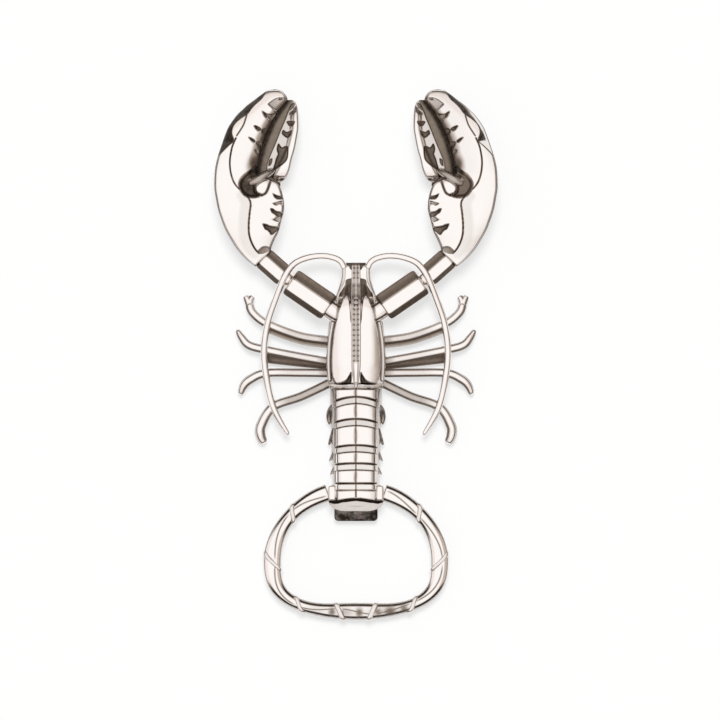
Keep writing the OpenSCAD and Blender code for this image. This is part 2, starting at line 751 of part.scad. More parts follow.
module shoulder() {
    plug = shoulder_diameter / 2;
    tenon = arm_tenon / 2;
    color("silver")
        turned(shoulder, upper_arm_angle, [
            [0, seat - shoulder_depth],
            [plug, seat - shoulder_depth],
            [plug, upper_start - seat],
            [tenon, upper_start - seat],
            [tenon, upper_start + arm_tenon_length - seat],
            [0, upper_start + arm_tenon_length - seat]
        ]);
}

module upper_arm() {
    bore = arm_tenon + 2 * fit;
    radius = upper_arm_diameter / 2;
    color("gainsboro")
        difference() {
            turned(shoulder, upper_arm_angle, sleeve(upper_start, upper_end, radius, arm_round));
            bar(shoulder, upper_arm_angle, upper_start - over, upper_start + arm_tenon_length, bore);
            bar(shoulder, upper_arm_angle, upper_end - arm_tenon_length, upper_end + over, bore);
        }
}

module elbow() {
    color("silver") {
        bar(shoulder, upper_arm_angle, upper_end - arm_tenon_length + seat, upper_end + over, arm_tenon);
        difference() {
            bar(elbow, forearm_angle, -elbow_length, elbow_reach - seat, elbow_diameter);
            translate(shoulder + (upper_end + seat) * heading(upper_arm_angle))
                rotate([0, 0, upper_arm_angle])
                    translate([-2 * elbow_length, -elbow_diameter, -elbow_diameter])
                        cube([2 * elbow_length, 2 * elbow_diameter, 2 * elbow_diameter]);
        }
        bar(elbow, forearm_angle, over, elbow_reach + arm_tenon_length - seat, arm_tenon);
    }
}

module forearm() {
    bore = arm_tenon + 2 * fit;
    end = elbow_reach + forearm_length;
    color("gainsboro")
        difference() {
            union() {
                turned(elbow, forearm_angle, sleeve(elbow_reach, end, forearm_diameter / 2, arm_round));
                bar(elbow, forearm_angle, end - over, end + arm_tenon_length, arm_tenon);
            }
            bar(elbow, forearm_angle, elbow_reach - over, elbow_reach + arm_tenon_length, bore);
        }
}

module claw() {
    color("silver")
        difference() {
            translate([wrist[0], wrist[1], 0])
                difference() {
                    union() {
                        skin([for (k = concat(palm_run, finger_run)) claw_ring(k)]);
                        linear_extrude(floor_height)
                            polygon(concat(
                                [[-0.25 * claw_width, 0.42 * claw_length]],
                                [for (k = thumb_run) [k[1] * claw_width + 0.5, k[0] * claw_length - 0.6]],
                                [for (n = [len(finger_keys) - 2 : -1 : 0])
                                    let (k = finger_keys[n])
                                    [(k[1] + 0.1) * claw_width, k[0] * claw_length]]
                            ));
                    }
                    translate([peg_at[0], peg_at[1], over / 2])
                        cylinder(d = thumb_peg + 2 * fit, h = floor_height + over);
                    translate([0, 0, (1 - hollow_depth) * claw_height])
                        linear_extrude(claw_height)
                            polygon([for (p = hollow_outline) [p[0] * claw_width, p[1] * claw_length]]);
                    for (g = claw_grooves)
                        rod([for (p = g) concat(claw_point(p), [tooth_depth])], 4);
                }
            translate([wrist[0], wrist[1], -over])
                rotate([0, 0, forearm_angle])
                    translate([-20, -15, 0])
                        cube([20, 30, claw_height + 2 * over]);
            bar(elbow, forearm_angle, wrist_at - over, wrist_at + arm_tenon_length, arm_tenon + 2 * fit);
        }
}

module thumb() {
    color("gainsboro")
        translate([wrist[0], wrist[1], 0]) {
            skin([for (k = thumb_run) thumb_ring(k, thumb_edge(k))]);
            translate([peg_at[0], peg_at[1], over / 2 + seat])
                cylinder(d = thumb_peg, h = floor_height + over / 2);
        }
}

module leg(i) {
    color("silver")
        rod(leg_path(i));
}

module antenna() {
    start = antenna_root - (antenna_socket - seat) * heading(antenna_angle);
    color("gainsboro")
        rod(concat([concat(start, [antenna_diameter / 2])], smooth_run(antenna_keys, 4)));
}

placed() carapace();
placed() back_ridge();
placed() tail_core();
placed() tail_end();
placed() cap_lip();
placed() opener_ring();
placed() ring_lashings();
for (i = [1 : plates])
    placed() tail_plate(i);
for (side = sides) {
    placed() on(side) shoulder();
    placed() on(side) upper_arm();
    placed() on(side) elbow();
    placed() on(side) forearm();
    placed() on(side) claw();
    placed() on(side) thumb();
    placed() on(side) antenna();
    for (i = [1 : 4])
        placed() on(side) leg(i - 1);
}
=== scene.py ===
import math

import bpy
import numpy as np
from bpy.props import FloatProperty, FloatVectorProperty, PointerProperty
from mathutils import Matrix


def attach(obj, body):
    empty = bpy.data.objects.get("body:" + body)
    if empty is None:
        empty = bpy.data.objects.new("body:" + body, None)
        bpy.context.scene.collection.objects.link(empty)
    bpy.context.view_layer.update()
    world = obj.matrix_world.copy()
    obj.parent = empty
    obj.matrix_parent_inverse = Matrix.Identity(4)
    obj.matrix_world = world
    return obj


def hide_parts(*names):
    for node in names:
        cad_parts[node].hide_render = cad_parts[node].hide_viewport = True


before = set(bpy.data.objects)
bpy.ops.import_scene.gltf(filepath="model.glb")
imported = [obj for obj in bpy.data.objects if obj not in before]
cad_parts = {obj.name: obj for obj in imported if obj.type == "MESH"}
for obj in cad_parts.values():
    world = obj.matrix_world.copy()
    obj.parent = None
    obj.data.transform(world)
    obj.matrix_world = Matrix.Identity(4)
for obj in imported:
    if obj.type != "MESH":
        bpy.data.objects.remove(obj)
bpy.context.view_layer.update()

bl_info = {
    "name": "Lobster Opener",
    "version": (1, 0, 0),
    "blender": (4, 5, 0),
    "location": "3D View > Sidebar > Lobster",
    "description": "Shapes, finishes and stage of a lobster-shaped bottle opener",
    "category": "Mesh",
}

# Shapes are written in millimetres in the part's frame and scaled once, when a mesh is placed.
MM = 0.001
MERGE = 2e-6  # points closer than this, in metres, become one


# Curves and surfaces


def smooth_run(keys, count):
    """Rows on a smooth line through the keys, spread evenly by key."""
    keys = np.asarray(keys, float)
    last = len(keys) - 1
    place = np.linspace(0, last, count)
    i = np.minimum(place.astype(int), last - 1)
    t = (place - i)[:, None]
    a, b = keys[np.maximum(i - 1, 0)], keys[i]
    c, d = keys[i + 1], keys[np.minimum(i + 2, last)]
    return b + 0.5 * t * (c - a + t * (2 * a - 5 * b + 4 * c - d + t * (3 * b - a - 3 * c + d)))


def even_run(keys, count):
    """Rows on a smooth line through the keys, spread evenly by length."""
    fine = smooth_run(keys, 40 * len(keys))
    length = np.r_[0, np.cumsum(np.linalg.norm(np.diff(fine[:, :3], axis=0), axis=1))]
    place = np.linspace(0, length[-1], count)
    return np.stack([np.interp(place, length, column) for column in fine.T], axis=1)


def along(keys, place):
    """Value at a place, from smooth [place, value] keys."""
    fine = smooth_run(keys, 24 * len(keys))
    order = np.argsort(fine[:, 0], kind="stable")
    return np.interp(place, fine[order, 0], fine[order, 1])


def ease(value, low, high):
    """0 below low, 1 above high and smooth between."""
    t = np.clip((value - low) / (high - low), 0, 1)
    return t * t * (3 - 2 * t)


def bell(value, width):
    """1 at zero, falling off smoothly to both sides over a width."""
    return np.exp(-((value / width) ** 2))


def past(value):
    """A slope that starts smoothly where the value passes zero."""
    positive = np.maximum(value, 0)
    return positive * positive / (positive + 0.35)


def near_line(x, y, line):
    """Distance of each point to a line of points."""
    best = np.full(np.shape(x), np.inf)
    for (ax, ay), (bx, by) in zip(line[:-1], line[1:]):
        ux, uy = bx - ax, by - ay
        t = np.clip(((x - ax) * ux + (y - ay) * uy) / (ux * ux + uy * uy + 1e-12), 0, 1)
        best = np.minimum(best, np.hypot(x - ax - t * ux, y - ay - t * uy))
    return best


def depth_inside(x, y, outline):
    """Distance to the outline for points inside it, and below zero outside."""
    ring = list(outline) + [outline[0]]
    odd = np.zeros(np.shape(x), bool)
    for (ax, ay), (bx, by) in zip(ring[:-1], ring[1:]):
        if ay != by:
            odd ^= ((ay > y) != (by > y)) & (x < (bx - ax) * (y - ay) / (by - ay) + ax)
    away = near_line(x, y, ring)
    return np.where(odd, away, -away)


class Relief:
    """Cuts in a surface, and the shade painted in and around them."""

    def __init__(self, x, y):
        self.x, self.y = x, y
        self.drop = np.zeros(np.shape(x))
        self.dark = np.zeros(np.shape(x))

    def add(self, share, depth, dark):
        """Cut and darkness where the share is above zero, in full where it is 1."""
        self.drop = np.maximum(self.drop, share * depth)
        self.dark = np.maximum(self.dark, share * dark)

    def groove(self, line, width, depth, dark):
        """Cut with sloping sides along a line."""
        fine = smooth_run(line, 8 * len(line)) if len(line) > 2 else line
        share = np.clip(1 - near_line(self.x, self.y, fine) / width, 0, 1)
        self.drop = np.maximum(self.drop, depth * share)
        self.dark = np.maximum(self.dark, ease(share, 0.0, 0.6) * dark)

    def hollow(self, outline, wall, depth, dark, fade=0.0):
        """Pocket inside an outline, with a darkness that fades by a share towards the midline."""
        inside = depth_inside(self.x, self.y, smooth_run(list(outline) + [outline[0]], 10 * len(outline)))
        near, far = min(p[0] for p in outline), max(p[0] for p in outline)
        dark = dark * (1 - fade * np.clip((far - self.x) / (far - near), 0, 1))
        self.add(ease(inside, -0.3 * wall, wall), depth, dark)

    def spot(self, centre, radii, turn, depth, dark):
        """Soft oval mark, turned by an angle in degrees."""
        c, s = math.cos(math.radians(turn)), math.sin(math.radians(turn))
        u = ((self.x - centre[0]) * c + (self.y - centre[1]) * s) / radii[0]
        v = ((self.y - centre[1]) * c - (self.x - centre[0]) * s) / radii[1]
        self.add(np.exp(-((u * u + v * v) ** 1.1)), depth, dark)


# Mesh work


def clear_selection():
    """Leaves editing, with nothing selected."""
    if bpy.context.mode != "OBJECT":
        bpy.ops.object.mode_set(mode="OBJECT")
    bpy.ops.object.select_all(action="DESELECT")


def select(*objects):
    """Selects objects alone, with the first of them active."""
    clear_selection()
    for o in objects:
        o.select_set(True)
    bpy.context.view_layer.objects.active = objects[0]


def edit_all(piece):
    """Opens a piece for editing, with everything in it selected."""
    select(piece)
    bpy.ops.object.mode_set(mode="EDIT")
    bpy.ops.mesh.select_all(action="SELECT")


def close_up(piece):
    """Merges seams, turns the faces outwards and shades the piece smooth."""
    edit_all(piece)
    bpy.ops.mesh.remove_doubles(threshold=MERGE)
    bpy.ops.mesh.dissolve_degenerate(threshold=MERGE)
    bpy.ops.mesh.normals_make_consistent(inside=False)
    bpy.ops.object.mode_set(mode="OBJECT")
    bpy.ops.object.shade_smooth()
    return piece


def keep_edges(piece, degrees):
    """Shades a piece smooth, apart from the edges that are sharper than an angle."""
    select(piece)
    bpy.ops.object.shade_smooth_by_angle(angle=math.radians(degrees))
    return piece


def set_dark(piece, values):
    """Darkness painted at each point, for patina and shade, which the nickel reads."""
    marks = piece.data.attributes
    mark = marks.get("patina") or marks.new("patina", "FLOAT", "POINT")
    mark.data.foreach_set("value", np.ascontiguousarray(values, np.float32).ravel())


def drawn_over(name, rings, dark):
    """Grid drawn over closed rings of points, in millimetres, and closed at its seam and ends."""
    rows, points = rings.shape[:2]
    clear_selection()
    bpy.ops.mesh.primitive_grid_add(x_subdivisions=points, y_subdivisions=rows - 1, size=1)
    piece = bpy.context.object
    piece.name = name
    closed = np.concatenate([rings, rings[:, :1]], axis=1) * MM
    piece.data.vertices.foreach_set("co", closed.astype(np.float32).ravel())
    set_dark(piece, np.concatenate([dark, dark[:, :1]], axis=1))
    return close_up(piece)


WALL_STEPS, UNDER_STEPS = 6, 9  # points up a side of a slab and across its underside
CROWDING = 0.72  # how far the columns of a slab crowd towards its sides
CAP_INSET = 0.03  # how far inside its outline the end face of a slab has its own ring


def spread(low, high, columns):
    """Places from low to high for each row, closer together at both sides."""
    t = np.linspace(0, 1, columns + 1)[None, :]
    return low + (high - low) * (t - CROWDING * np.sin(2 * np.pi * t) / (2 * np.pi))


def capped(rings, middle):
    """Rings with an end face at both ends, drawn in to the middle of the first and last ring."""
    first, last = middle[:1] + 0 * rings[:1], middle[-1:] + 0 * rings[:1]
    inner_first = CAP_INSET * first + (1 - CAP_INSET) * rings[:1]
    inner_last = CAP_INSET * last + (1 - CAP_INSET) * rings[-1:]
    return np.concatenate([first, inner_first, rings, inner_last, last], axis=0)


def slab(name, rows, left, right, top, low, edge, columns, place=None, rim=0.0):
    """Casting with a modelled top between two edges, upright sides and a flat underside.

    rows are places along the piece, left and right its edges there, top gives height and darkness.
    low is the level of the underside, and edge the radius of the rounding along the top.
    columns is their number, or their places for each row. place bends the rows and columns.
    rim is the painted shade along the edges.
    """
    rows, left, right = (np.asarray(v, float)[:, None] for v in (rows, left, right))
    x = spread(left, right, columns) if np.ndim(columns) == 0 else columns
    y = rows + 0 * x
    z, dark = top(x, y)
    near = np.minimum(x - left, right - x)
    near = np.minimum(near, np.minimum(y - rows.min(), rows.max() - y) + 0.02)
    dark = np.maximum(dark, rim * (1 - ease(near, 0.1, 0.5)))
    short = np.clip(1 - near / edge, 0, 1)
    z = np.maximum(z - edge * (1 - np.sqrt(1 - short**2)), low + 0.1)
    steps = np.linspace(0, 1, WALL_STEPS)[None, :]
    foot = low + 0 * z[:, :1]
    wall_left = foot + (z[:, :1] - foot) * steps
    wall_right = z[:, -1:] + (foot - z[:, -1:]) * steps
    under = right + (left - right) * np.linspace(0, 1, UNDER_STEPS)[None, 1:-1]
    x_ring = np.concatenate([left + 0 * steps, x[:, 1:-1], right + 0 * steps, under], axis=1)
    z_ring = np.concatenate([wall_left, z[:, 1:-1], wall_right, foot + 0 * under], axis=1)
    d_ring = np.concatenate(
        [dark[:, :1] * steps**6, dark[:, 1:-1], dark[:, -1:] * (1 - steps) ** 6, 0 * under], axis=1
    )
    x_ring = capped(x_ring, (left + right) / 2)
    z_ring = capped(z_ring, 0 * left + low)
    y_ring = capped(rows + 0 * d_ring, rows)
    d_ring = np.pad(d_ring, ((2, 2), (0, 0)))
    x_ring, y_ring = place(x_ring, y_ring) if place else (x_ring, y_ring)
    piece = drawn_over(name, np.stack([x_ring, y_ring, z_ring], axis=-1), d_ring)
    return keep_edges(piece, 65)


def rounded_ends(path, start, end):
    """The path with its radius drawn in over a short stretch at each end, as by a file."""
    length = np.r_[0, np.cumsum(np.linalg.norm(np.diff(path[:, :3], axis=0), axis=1))]
    path = path.copy()
    for reach, gone in ((start, length), (end, length[-1] - length)):
        if reach > 0:
            path[:, 3] *= np.sqrt(np.clip(1 - np.clip(1 - gone / reach, 0, 1) ** 2, 0.02, 1))
    return path


def swept(name, path, section, dark=0.0):
    """Bar with a given outline along rows of [x, y, z, size], and its darkness at each outline point."""
    path, section = np.asarray(path, float), np.asarray(section, float)
    ahead = np.gradient(path[:, :3], axis=0)
    ahead /= np.linalg.norm(ahead, axis=1)[:, None]
    across = np.cross(ahead, [0, 0, 1])
    across /= np.linalg.norm(across, axis=1)[:, None]
    up = np.cross(across, ahead)
    size = path[:, 3][:, None, None]
    rings = path[:, None, :3] + size * (
        across[:, None] * section[None, :, :1] + up[:, None] * section[None, :, 1:]
    )
    middle = rings.mean(axis=1, keepdims=True)
    rings = np.concatenate([middle[:1] + 0 * rings[:1], rings, middle[-1:] + 0 * rings[:1]], axis=0)
    return drawn_over(name, rings, np.broadcast_to(dark, rings.shape[:2]))


def worn(outline):
    """Closed outline with points along its sides and its corners cut and cut again."""
    points = np.asarray(outline, float)
    t = np.array([0, 0.25, 0.5, 0.75])[None, :, None]
    points = (points[:, None] * (1 - t) + np.roll(points, -1, axis=0)[:, None] * t).reshape(-1, 2)
    for _ in range(2):
        ahead = np.roll(points, -1, axis=0)
        cuts = [0.75 * points + 0.25 * ahead, 0.25 * points + 0.75 * ahead]
        points = np.stack(cuts, axis=1).reshape(-1, 2)
    return points


def circle(points, flat=1.0):
    """Round outline, or an oval one that is lower than it is wide."""
    a = np.linspace(0, 2 * np.pi, points, endpoint=False)
    return np.stack([np.cos(a), flat * np.sin(a)], axis=1)


def turned(name, profile, start, angle):
    """Piece turned about an axis in the level plane, from [distance, radius] rows."""
    clear_selection()
    bpy.ops.mesh.primitive_plane_add(size=MM)
    piece = bpy.context.object
    piece.name = name
    edit_all(piece)
    bpy.ops.mesh.merge(type="CENTER")
    bpy.ops.transform.translate(value=(profile[0][1] * MM, 0, profile[0][0] * MM))
    for (d0, r0), (d1, r1) in zip(profile[:-1], profile[1:]):
        bpy.ops.mesh.extrude_region_move(
            TRANSFORM_OT_translate={"value": ((r1 - r0) * MM, 0, (d1 - d0) * MM)}
        )
    bpy.ops.mesh.select_all(action="SELECT")
    bpy.ops.mesh.spin(steps=72, angle=2 * math.pi, center=(0, 0, 0), axis=(0, 0, 1))
    bpy.ops.object.mode_set(mode="OBJECT")
    piece.rotation_euler = (0, math.pi / 2, math.radians(angle))
    piece.location = [v * MM for v in start]
    select(piece)
    bpy.ops.object.transform_apply(location=True, rotation=True, scale=True)
    close_up(piece)
    set_dark(piece, np.zeros(len(piece.data.vertices)))
    return keep_edges(piece, 50)


def block(name, low, high, bevel):
    """Cube of a size and place, with all its edges bevelled."""
    clear_selection()
    bpy.ops.mesh.primitive_cube_add(size=1)
    piece = bpy.context.object
    piece.name = name
    edit_all(piece)
    bpy.ops.transform.resize(value=[(b - a) * MM for a, b in zip(low, high)])
    bpy.ops.transform.translate(value=[(a + b) / 2 * MM for a, b in zip(low, high)])
    bpy.ops.mesh.bevel(offset=bevel * MM, segments=4, profile=0.5, affect="EDGES")
    bpy.ops.object.mode_set(mode="OBJECT")
    close_up(piece)
    set_dark(piece, np.zeros(len(piece.data.vertices)))
    return keep_edges(piece, 40)


def joined(name, pieces):
    """One piece of several."""
    select(*pieces)
    bpy.ops.object.join()
    piece = bpy.context.object
    piece.name = name
    return piece


def turned_over(piece):
    """The piece, moved to the other side of the midline."""
    select(piece)
    piece.scale.x = -1
    bpy.ops.object.transform_apply(location=True, rotation=True, scale=True)
    edit_all(piece)
    bpy.ops.mesh.normals_make_consistent(inside=False)
    bpy.ops.object.mode_set(mode="OBJECT")
    return piece


def mirrored(piece, name):
    """Copy of a piece on the other side of the midline."""
    select(piece)
    bpy.ops.object.duplicate(linked=False)
    copy = bpy.context.object
    copy.name = name
    return turned_over(copy)


def finish_piece(piece, material, slot, *nodes):
    """Gives a piece its finish, its body and the CAD nodes that it stands for."""
    piece.data.materials.clear()
    piece.data.materials.append(material)
    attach(piece, "root")
    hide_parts(*nodes)


def both_sides(piece, stem, material, slot):
    """Finishes the right piece and its mirrored copy on the left."""
    piece.name = stem + "_shape_right"
    left = mirrored(piece, stem + "_shape_left")
    finish_piece(piece, material, slot, stem + "_right")
    finish_piece(left, material, slot, stem + "_left")


# Finishes


def link(material, *runs):
    """Links sockets, each run as a node and its output, then a node and its input."""
    for start, output, end, entry in runs:
        material.node_tree.links.new(start.outputs[output], end.inputs[entry])


def node(material, kind, **values):
    """Shader node with its settings and sockets, with a space in a socket's name as an underscore."""
    made = material.node_tree.nodes.new(kind)
    for key, value in values.items():
        socket = key.replace("_", " ")
        if socket in made.inputs:
            made.inputs[socket].default_value = value
        else:
            setattr(made, key, value)
    return made


def math_node(material, operation, *numbers, use_clamp=False):
    """Math node with numbers on the sockets after its first."""
    made = node(material, "ShaderNodeMath", operation=operation, use_clamp=use_clamp)
    for k, number in enumerate(numbers):
        made.inputs[k + 1].default_value = number
    return made


def ramp(material, colours):
    """Colour ramp from [place, colour] rows."""
    made = node(material, "ShaderNodeValToRGB")
    while len(made.color_ramp.elements) < len(colours):
        made.color_ramp.elements.new(0.5)
    for element, (at, colour) in zip(made.color_ramp.elements, colours):
        element.position = at
        element.color = (*colour, 1)
    return made


def new_material(name):
    """Material and its shader, or no shader where the material is there already."""
    if name in bpy.data.materials:
        return bpy.data.materials[name], None
    material = bpy.data.materials.new(name)
    material.use_nodes = True
    return material, material.node_tree.nodes["Principled BSDF"]


FULLY_BROWN = 0.55  # darkness at which the plate is brown all over, and turns black beyond it


def nickel(name, polish):
    """Polished nickel plate, browned and blackened by the patina and painted shade mark, with fine rub
    marks.
    """
    material, shader = new_material(name)
    if shader is None:
        return material
    look = bpy.context.scene.lobster_finish
    place = node(material, "ShaderNodeTexCoord")
    mark = node(material, "ShaderNodeAttribute", attribute_name="patina")
    cloud = node(material, "ShaderNodeTexNoise", Scale=180.0, Detail=4.0, Roughness=0.6)
    stain = node(material, "ShaderNodeTexNoise", Scale=900.0, Detail=3.0, Roughness=0.65)
    rub = node(material, "ShaderNodeTexNoise", Scale=2600.0, Detail=2.0, Roughness=0.5)
    stretch = node(material, "ShaderNodeMapping", Scale=(1.0, 0.12, 1.0))
    shade = math_node(material, "MULTIPLY_ADD", 0.35, 0.83)
    dark = math_node(material, "MULTIPLY", use_clamp=True)
    plate = node(
        material, "ShaderNodeMix", data_type="RGBA", A=(*look.plate, 1), B=(*look.warm_plate, 1)
    )
    # Where the patina and painted shade mark is, the plate turns brown, then black, and rougher.
    brown = node(material, "ShaderNodeMix", data_type="RGBA", B=(*look.tarnish_and_shade, 1))
    tone = node(material, "ShaderNodeMix", data_type="RGBA", B=(*look.patina, 1))
    first = node(material, "ShaderNodeMapRange", From_Max=FULLY_BROWN)
    second = node(material, "ShaderNodeMapRange", From_Min=FULLY_BROWN)
    rough = node(material, "ShaderNodeMapRange", To_Min=polish, To_Max=polish + 0.07)
    shade_and_dullness = math_node(material, "MULTIPLY_ADD", 0.4)
    bump = node(material, "ShaderNodeBump", Strength=0.05, Distance=0.00002)
    shader.inputs["Metallic"].default_value = 1.0
    link(
        material,
        (place, "Object", cloud, "Vector"),
        (place, "Object", stain, "Vector"),
        (place, "Object", stretch, "Vector"),
        (stretch, "Vector", rub, "Vector"),
        (stain, "Fac", shade, 0),
        (mark, "Fac", dark, 0),
        (shade, "Value", dark, 1),
        (cloud, "Fac", plate, "Factor"),
        (dark, "Value", first, "Value"),
        (dark, "Value", second, "Value"),
        (plate, "Result", brown, "A"),
        (first, "Result", brown, "Factor"),
        (brown, "Result", tone, "A"),
        (second, "Result", tone, "Factor"),
        (tone, "Result", shader, "Base Color"),
        (cloud, "Fac", rough, "Value"),
        (dark, "Value", shade_and_dullness, 0),
        (rough, "Result", shade_and_dullness, 2),
        (shade_and_dullness, "Value", shader, "Roughness"),
        (rub, "Fac", bump, "Height"),
        (bump, "Normal", shader, "Normal"),
    )
    return material


def lip_steel():
    """Dark hardened steel with brushed streaks and worn, lighter patches."""
    material, shader = new_material("brushed_dark_steel")
    if shader is None:
        return material
    look = bpy.context.scene.lobster_finish
    place = node(material, "ShaderNodeTexCoord")
    stretch = node(material, "ShaderNodeMapping", Scale=(0.25, 1.0, 1.0))
    streak = node(material, "ShaderNodeTexNoise", Scale=1500.0, Detail=6.0, Roughness=0.7)
    blot = node(material, "ShaderNodeTexNoise", Scale=520.0, Detail=4.0, Roughness=0.6)
    patch = node(material, "ShaderNodeMapRange", From_Min=0.42, From_Max=0.66)
    tone = node(material, "ShaderNodeMix", data_type="RGBA", A=(*look.lip, 1), B=(*look.lip_worn, 1))
    both = math_node(material, "MULTIPLY", use_clamp=True)
    rough = node(material, "ShaderNodeMapRange", To_Min=0.3, To_Max=0.55)
    bump = node(material, "ShaderNodeBump", Strength=0.25, Distance=0.00004)
    shader.inputs["Metallic"].default_value = 1.0
    link(
        material,
        (place, "Object", stretch, "Vector"),
        (stretch, "Vector", streak, "Vector"),
        (place, "Object", blot, "Vector"),
        (blot, "Fac", patch, "Value"),
        (patch, "Result", both, 0),
        (streak, "Fac", both, 1),
        (both, "Value", tone, "Factor"),
        (tone, "Result", shader, "Base Color"),
        (streak, "Fac", rough, "Value"),
        (rough, "Result", shader, "Roughness"),
        (streak, "Fac", bump, "Height"),
        (bump, "Normal", shader, "Normal"),
    )
    return material


def casting():
    """Finish of the castings."""
    return nickel("nickel_casting", 0.075)


def wire():
    """Finish of the wires, which are a little brighter."""
    return nickel("nickel_wire", 0.06)


# Shapes of the pieces, on the right side where there are two


BODY = [  # place, half width, crown
    (-10.71, 8.2, 9.8), (-9.31, 8.4, 9.8), (-8.81, 8.6, 11.6), (-6.35, 9.0, 12.1), (-2.91, 9.3, 12.7),
    (0.81, 9.2, 12.9), (4.89, 8.85, 13.0), (9.49, 8.3, 12.8), (13.69, 7.5, 12.4), (16.29, 6.7, 11.5),
    (18.29, 5.7, 10.4), (20.41, 4.6, 9.4), (22.29, 3.8, 8.6), (24.89, 3.5, 8.6), (28.29, 3.7, 8.3),
]
LOBE_SIDE = [  # place, half width of the pair of back lobes
    (-9.4, 6.0), (-9.0, 6.4), (-8.2, 6.9), (-6.8, 7.4), (-4.0, 7.7), (0.0, 7.6), (4.9, 7.2), (9.5, 6.4),
    (14.3, 5.2), (16.1, 4.5), (17.6, 3.7), (18.4, 2.9), (19.0, 1.6),
]
LOBE_INNER = [  # place, half width of the gap between the lobes
    (-12, -2), (4, -2), (7, 0.2), (10, 1.3), (13, 1.6), (15.5, 1.85), (17.0, 2.1), (18.0, 2.5),
    (19.0, 3.2),
]
HEAD_WEDGE = [
    (1.2, 23.4), (2.2, 23.2), (3.1, 22.8), (3.5, 21.2), (4.3, 19.8), (5.1, 18.6), (5.1, 17.6), (4.2, 17.4),
    (3.2, 18.3), (2.2, 17.2), (1.7, 15.8), (1.2, 15.2),
]
HEAD_FRONT = [(1.2, 28.6), (3.6, 28.6), (3.4, 27.7), (2.3, 27.0), (1.5, 26.0), (1.2, 26.3)]
REAR_HOLLOW = [
    (1.4, -9.3), (1.45, -5.7), (2.15, -6.7), (3.0, -7.9), (4.4, -8.65), (6.1, -9.1), (6.2, -9.35),
    (4.0, -9.4),
]
BODY_RIM = [  # point and radius of the rim along the side
    (3.7, 28.2, 7.0, 0.8), (3.6, 25.4, 6.9, 0.8), (3.8, 22.9, 6.7, 0.8), (4.5, 20.3, 6.4, 0.85),
    (5.4, 17.4, 6.0, 0.9), (6.1, 14.3, 5.6, 0.9), (7.1, 9.5, 5.3, 0.9), (7.9, 4.9, 5.2, 0.85),
    (8.3, 0.0, 5.2, 0.85), (8.35, -4.0, 5.2, 0.8), (8.1, -8.6, 5.2, 0.7),
]
BODY_SPAN, RIDGE_SPAN = (-10.71, 28.2), (-10.5, 28.0)
COLLAR_FRONT, COLLAR_TOP = -8.8, 9.7
NECK_LOW, NECK_RISE = 5.0, 2.6  # level beside the back lobes, and how much higher it is at the head
RIDGE_PROUD = 0.35
BEAD_PITCH = 1.6


def body_half(y):
    """Half width of the body."""
    return along([(k[0], k[1]) for k in BODY], y)


def body_crown(y):
    """Height of the back, which steps down to the collar at its rear."""
    collar = np.interp(y, [k[0] for k in BODY], [k[2] for k in BODY])
    return np.where(y < COLLAR_FRONT, collar, along([(k[0], k[2]) for k in BODY[2:]], y))


def lobe_side(y):
    """Where the side of a back lobe runs, for the columns of the mesh to follow."""
    return np.minimum(along(LOBE_SIDE, y), body_half(y) - 0.3)


def carapace_top(x, y):
    """Two back lobes that fall to the neck at their sides, the head and the collar."""
    a = np.abs(x)
    crown = body_crown(y)
    lean = (lobe_side(y + 0.2) - lobe_side(y - 0.2)) / 0.4
    inside = (lobe_side(y) - a) / np.sqrt(1 + lean * lean)
    inside = np.minimum(inside, np.minimum(2.2 * (y + 9.25), 1.5 * (a - along(LOBE_INNER, y))))
    deep = np.clip(inside / 0.5, 0, 1)
    neck = NECK_LOW + NECK_RISE * ease(y, 12.5, 19.5)
    neck = neck + (crown - 0.9 - neck) * ease(3.6 - a, 0.0, 1.4) * ease(y, 6.0, 12.0)
    lobe = crown - 0.05 * np.maximum(a - 2.2, 0) ** 2
    z = neck + (lobe - neck) * np.sin(0.5 * np.pi * deep)
    collar = 1 - ease(y, -9.4, -9.1)
    z = z + (COLLAR_TOP - 0.03 * a * a - z) * collar
    # Painted shade at the foot of the lobes, spread further in on the right lobe, on the collar and in its
    # grooves, in the wedge and front of the head, as a crescent shadow under the rear of the lobes, and
    # along the front edge.
    cuts = Relief(a, y)
    beside = (1 - collar) * ease(a, 2.6, 3.6)
    blend = ease(x, 0.0, 1.0) * (1 - ease(y, 6.0, 11.0))
    cuts.add((1 - ease(inside, 0.1, 0.5)) * ease(inside, -0.5, -0.2) * beside, 0.0, 0.54 - 0.26 * blend)
    cuts.add((1 - ease(inside, -0.6, -0.1)) * beside * (1 - ease(y, 16.0, 18.5)), 0.0, 0.4 - 0.16 * blend)
    cuts.add((1 - ease(inside, 0.2, 2.4)) * ease(inside, -0.2, 0.2) * beside, 0.0, 0.26 * blend)
    cuts.add(collar, 0.0, 0.14)
    cuts.groove([(0.0, -9.8), (8.0, -10.0)], 0.12, 0.12, 0.4)
    cuts.hollow(HEAD_WEDGE, 0.5, 0.4, 0.74)
    cuts.hollow(HEAD_FRONT, 0.3, 0.5, 0.78)
    cuts.hollow(REAR_HOLLOW, 0.4, 1.2, 0.9)
    cuts.groove([(0.0, -10.2), (8.0, -10.5)], 0.12, 0.15, 0.5)
    front = ease(y, 26.8, 27.7) * ease(3.2 - a, 0.0, 0.6)
    return z - cuts.drop - 1.2 * front, np.maximum(cuts.dark, 0.8 * front)


RIDGE_HALF = [  # place, half width
    (-10.6, 0.25), (-9.0, 0.75), (-6.0, 1.2), (-2.5, 1.45), (10.0, 1.5), (20.0, 1.45), (28.1, 1.3),
]


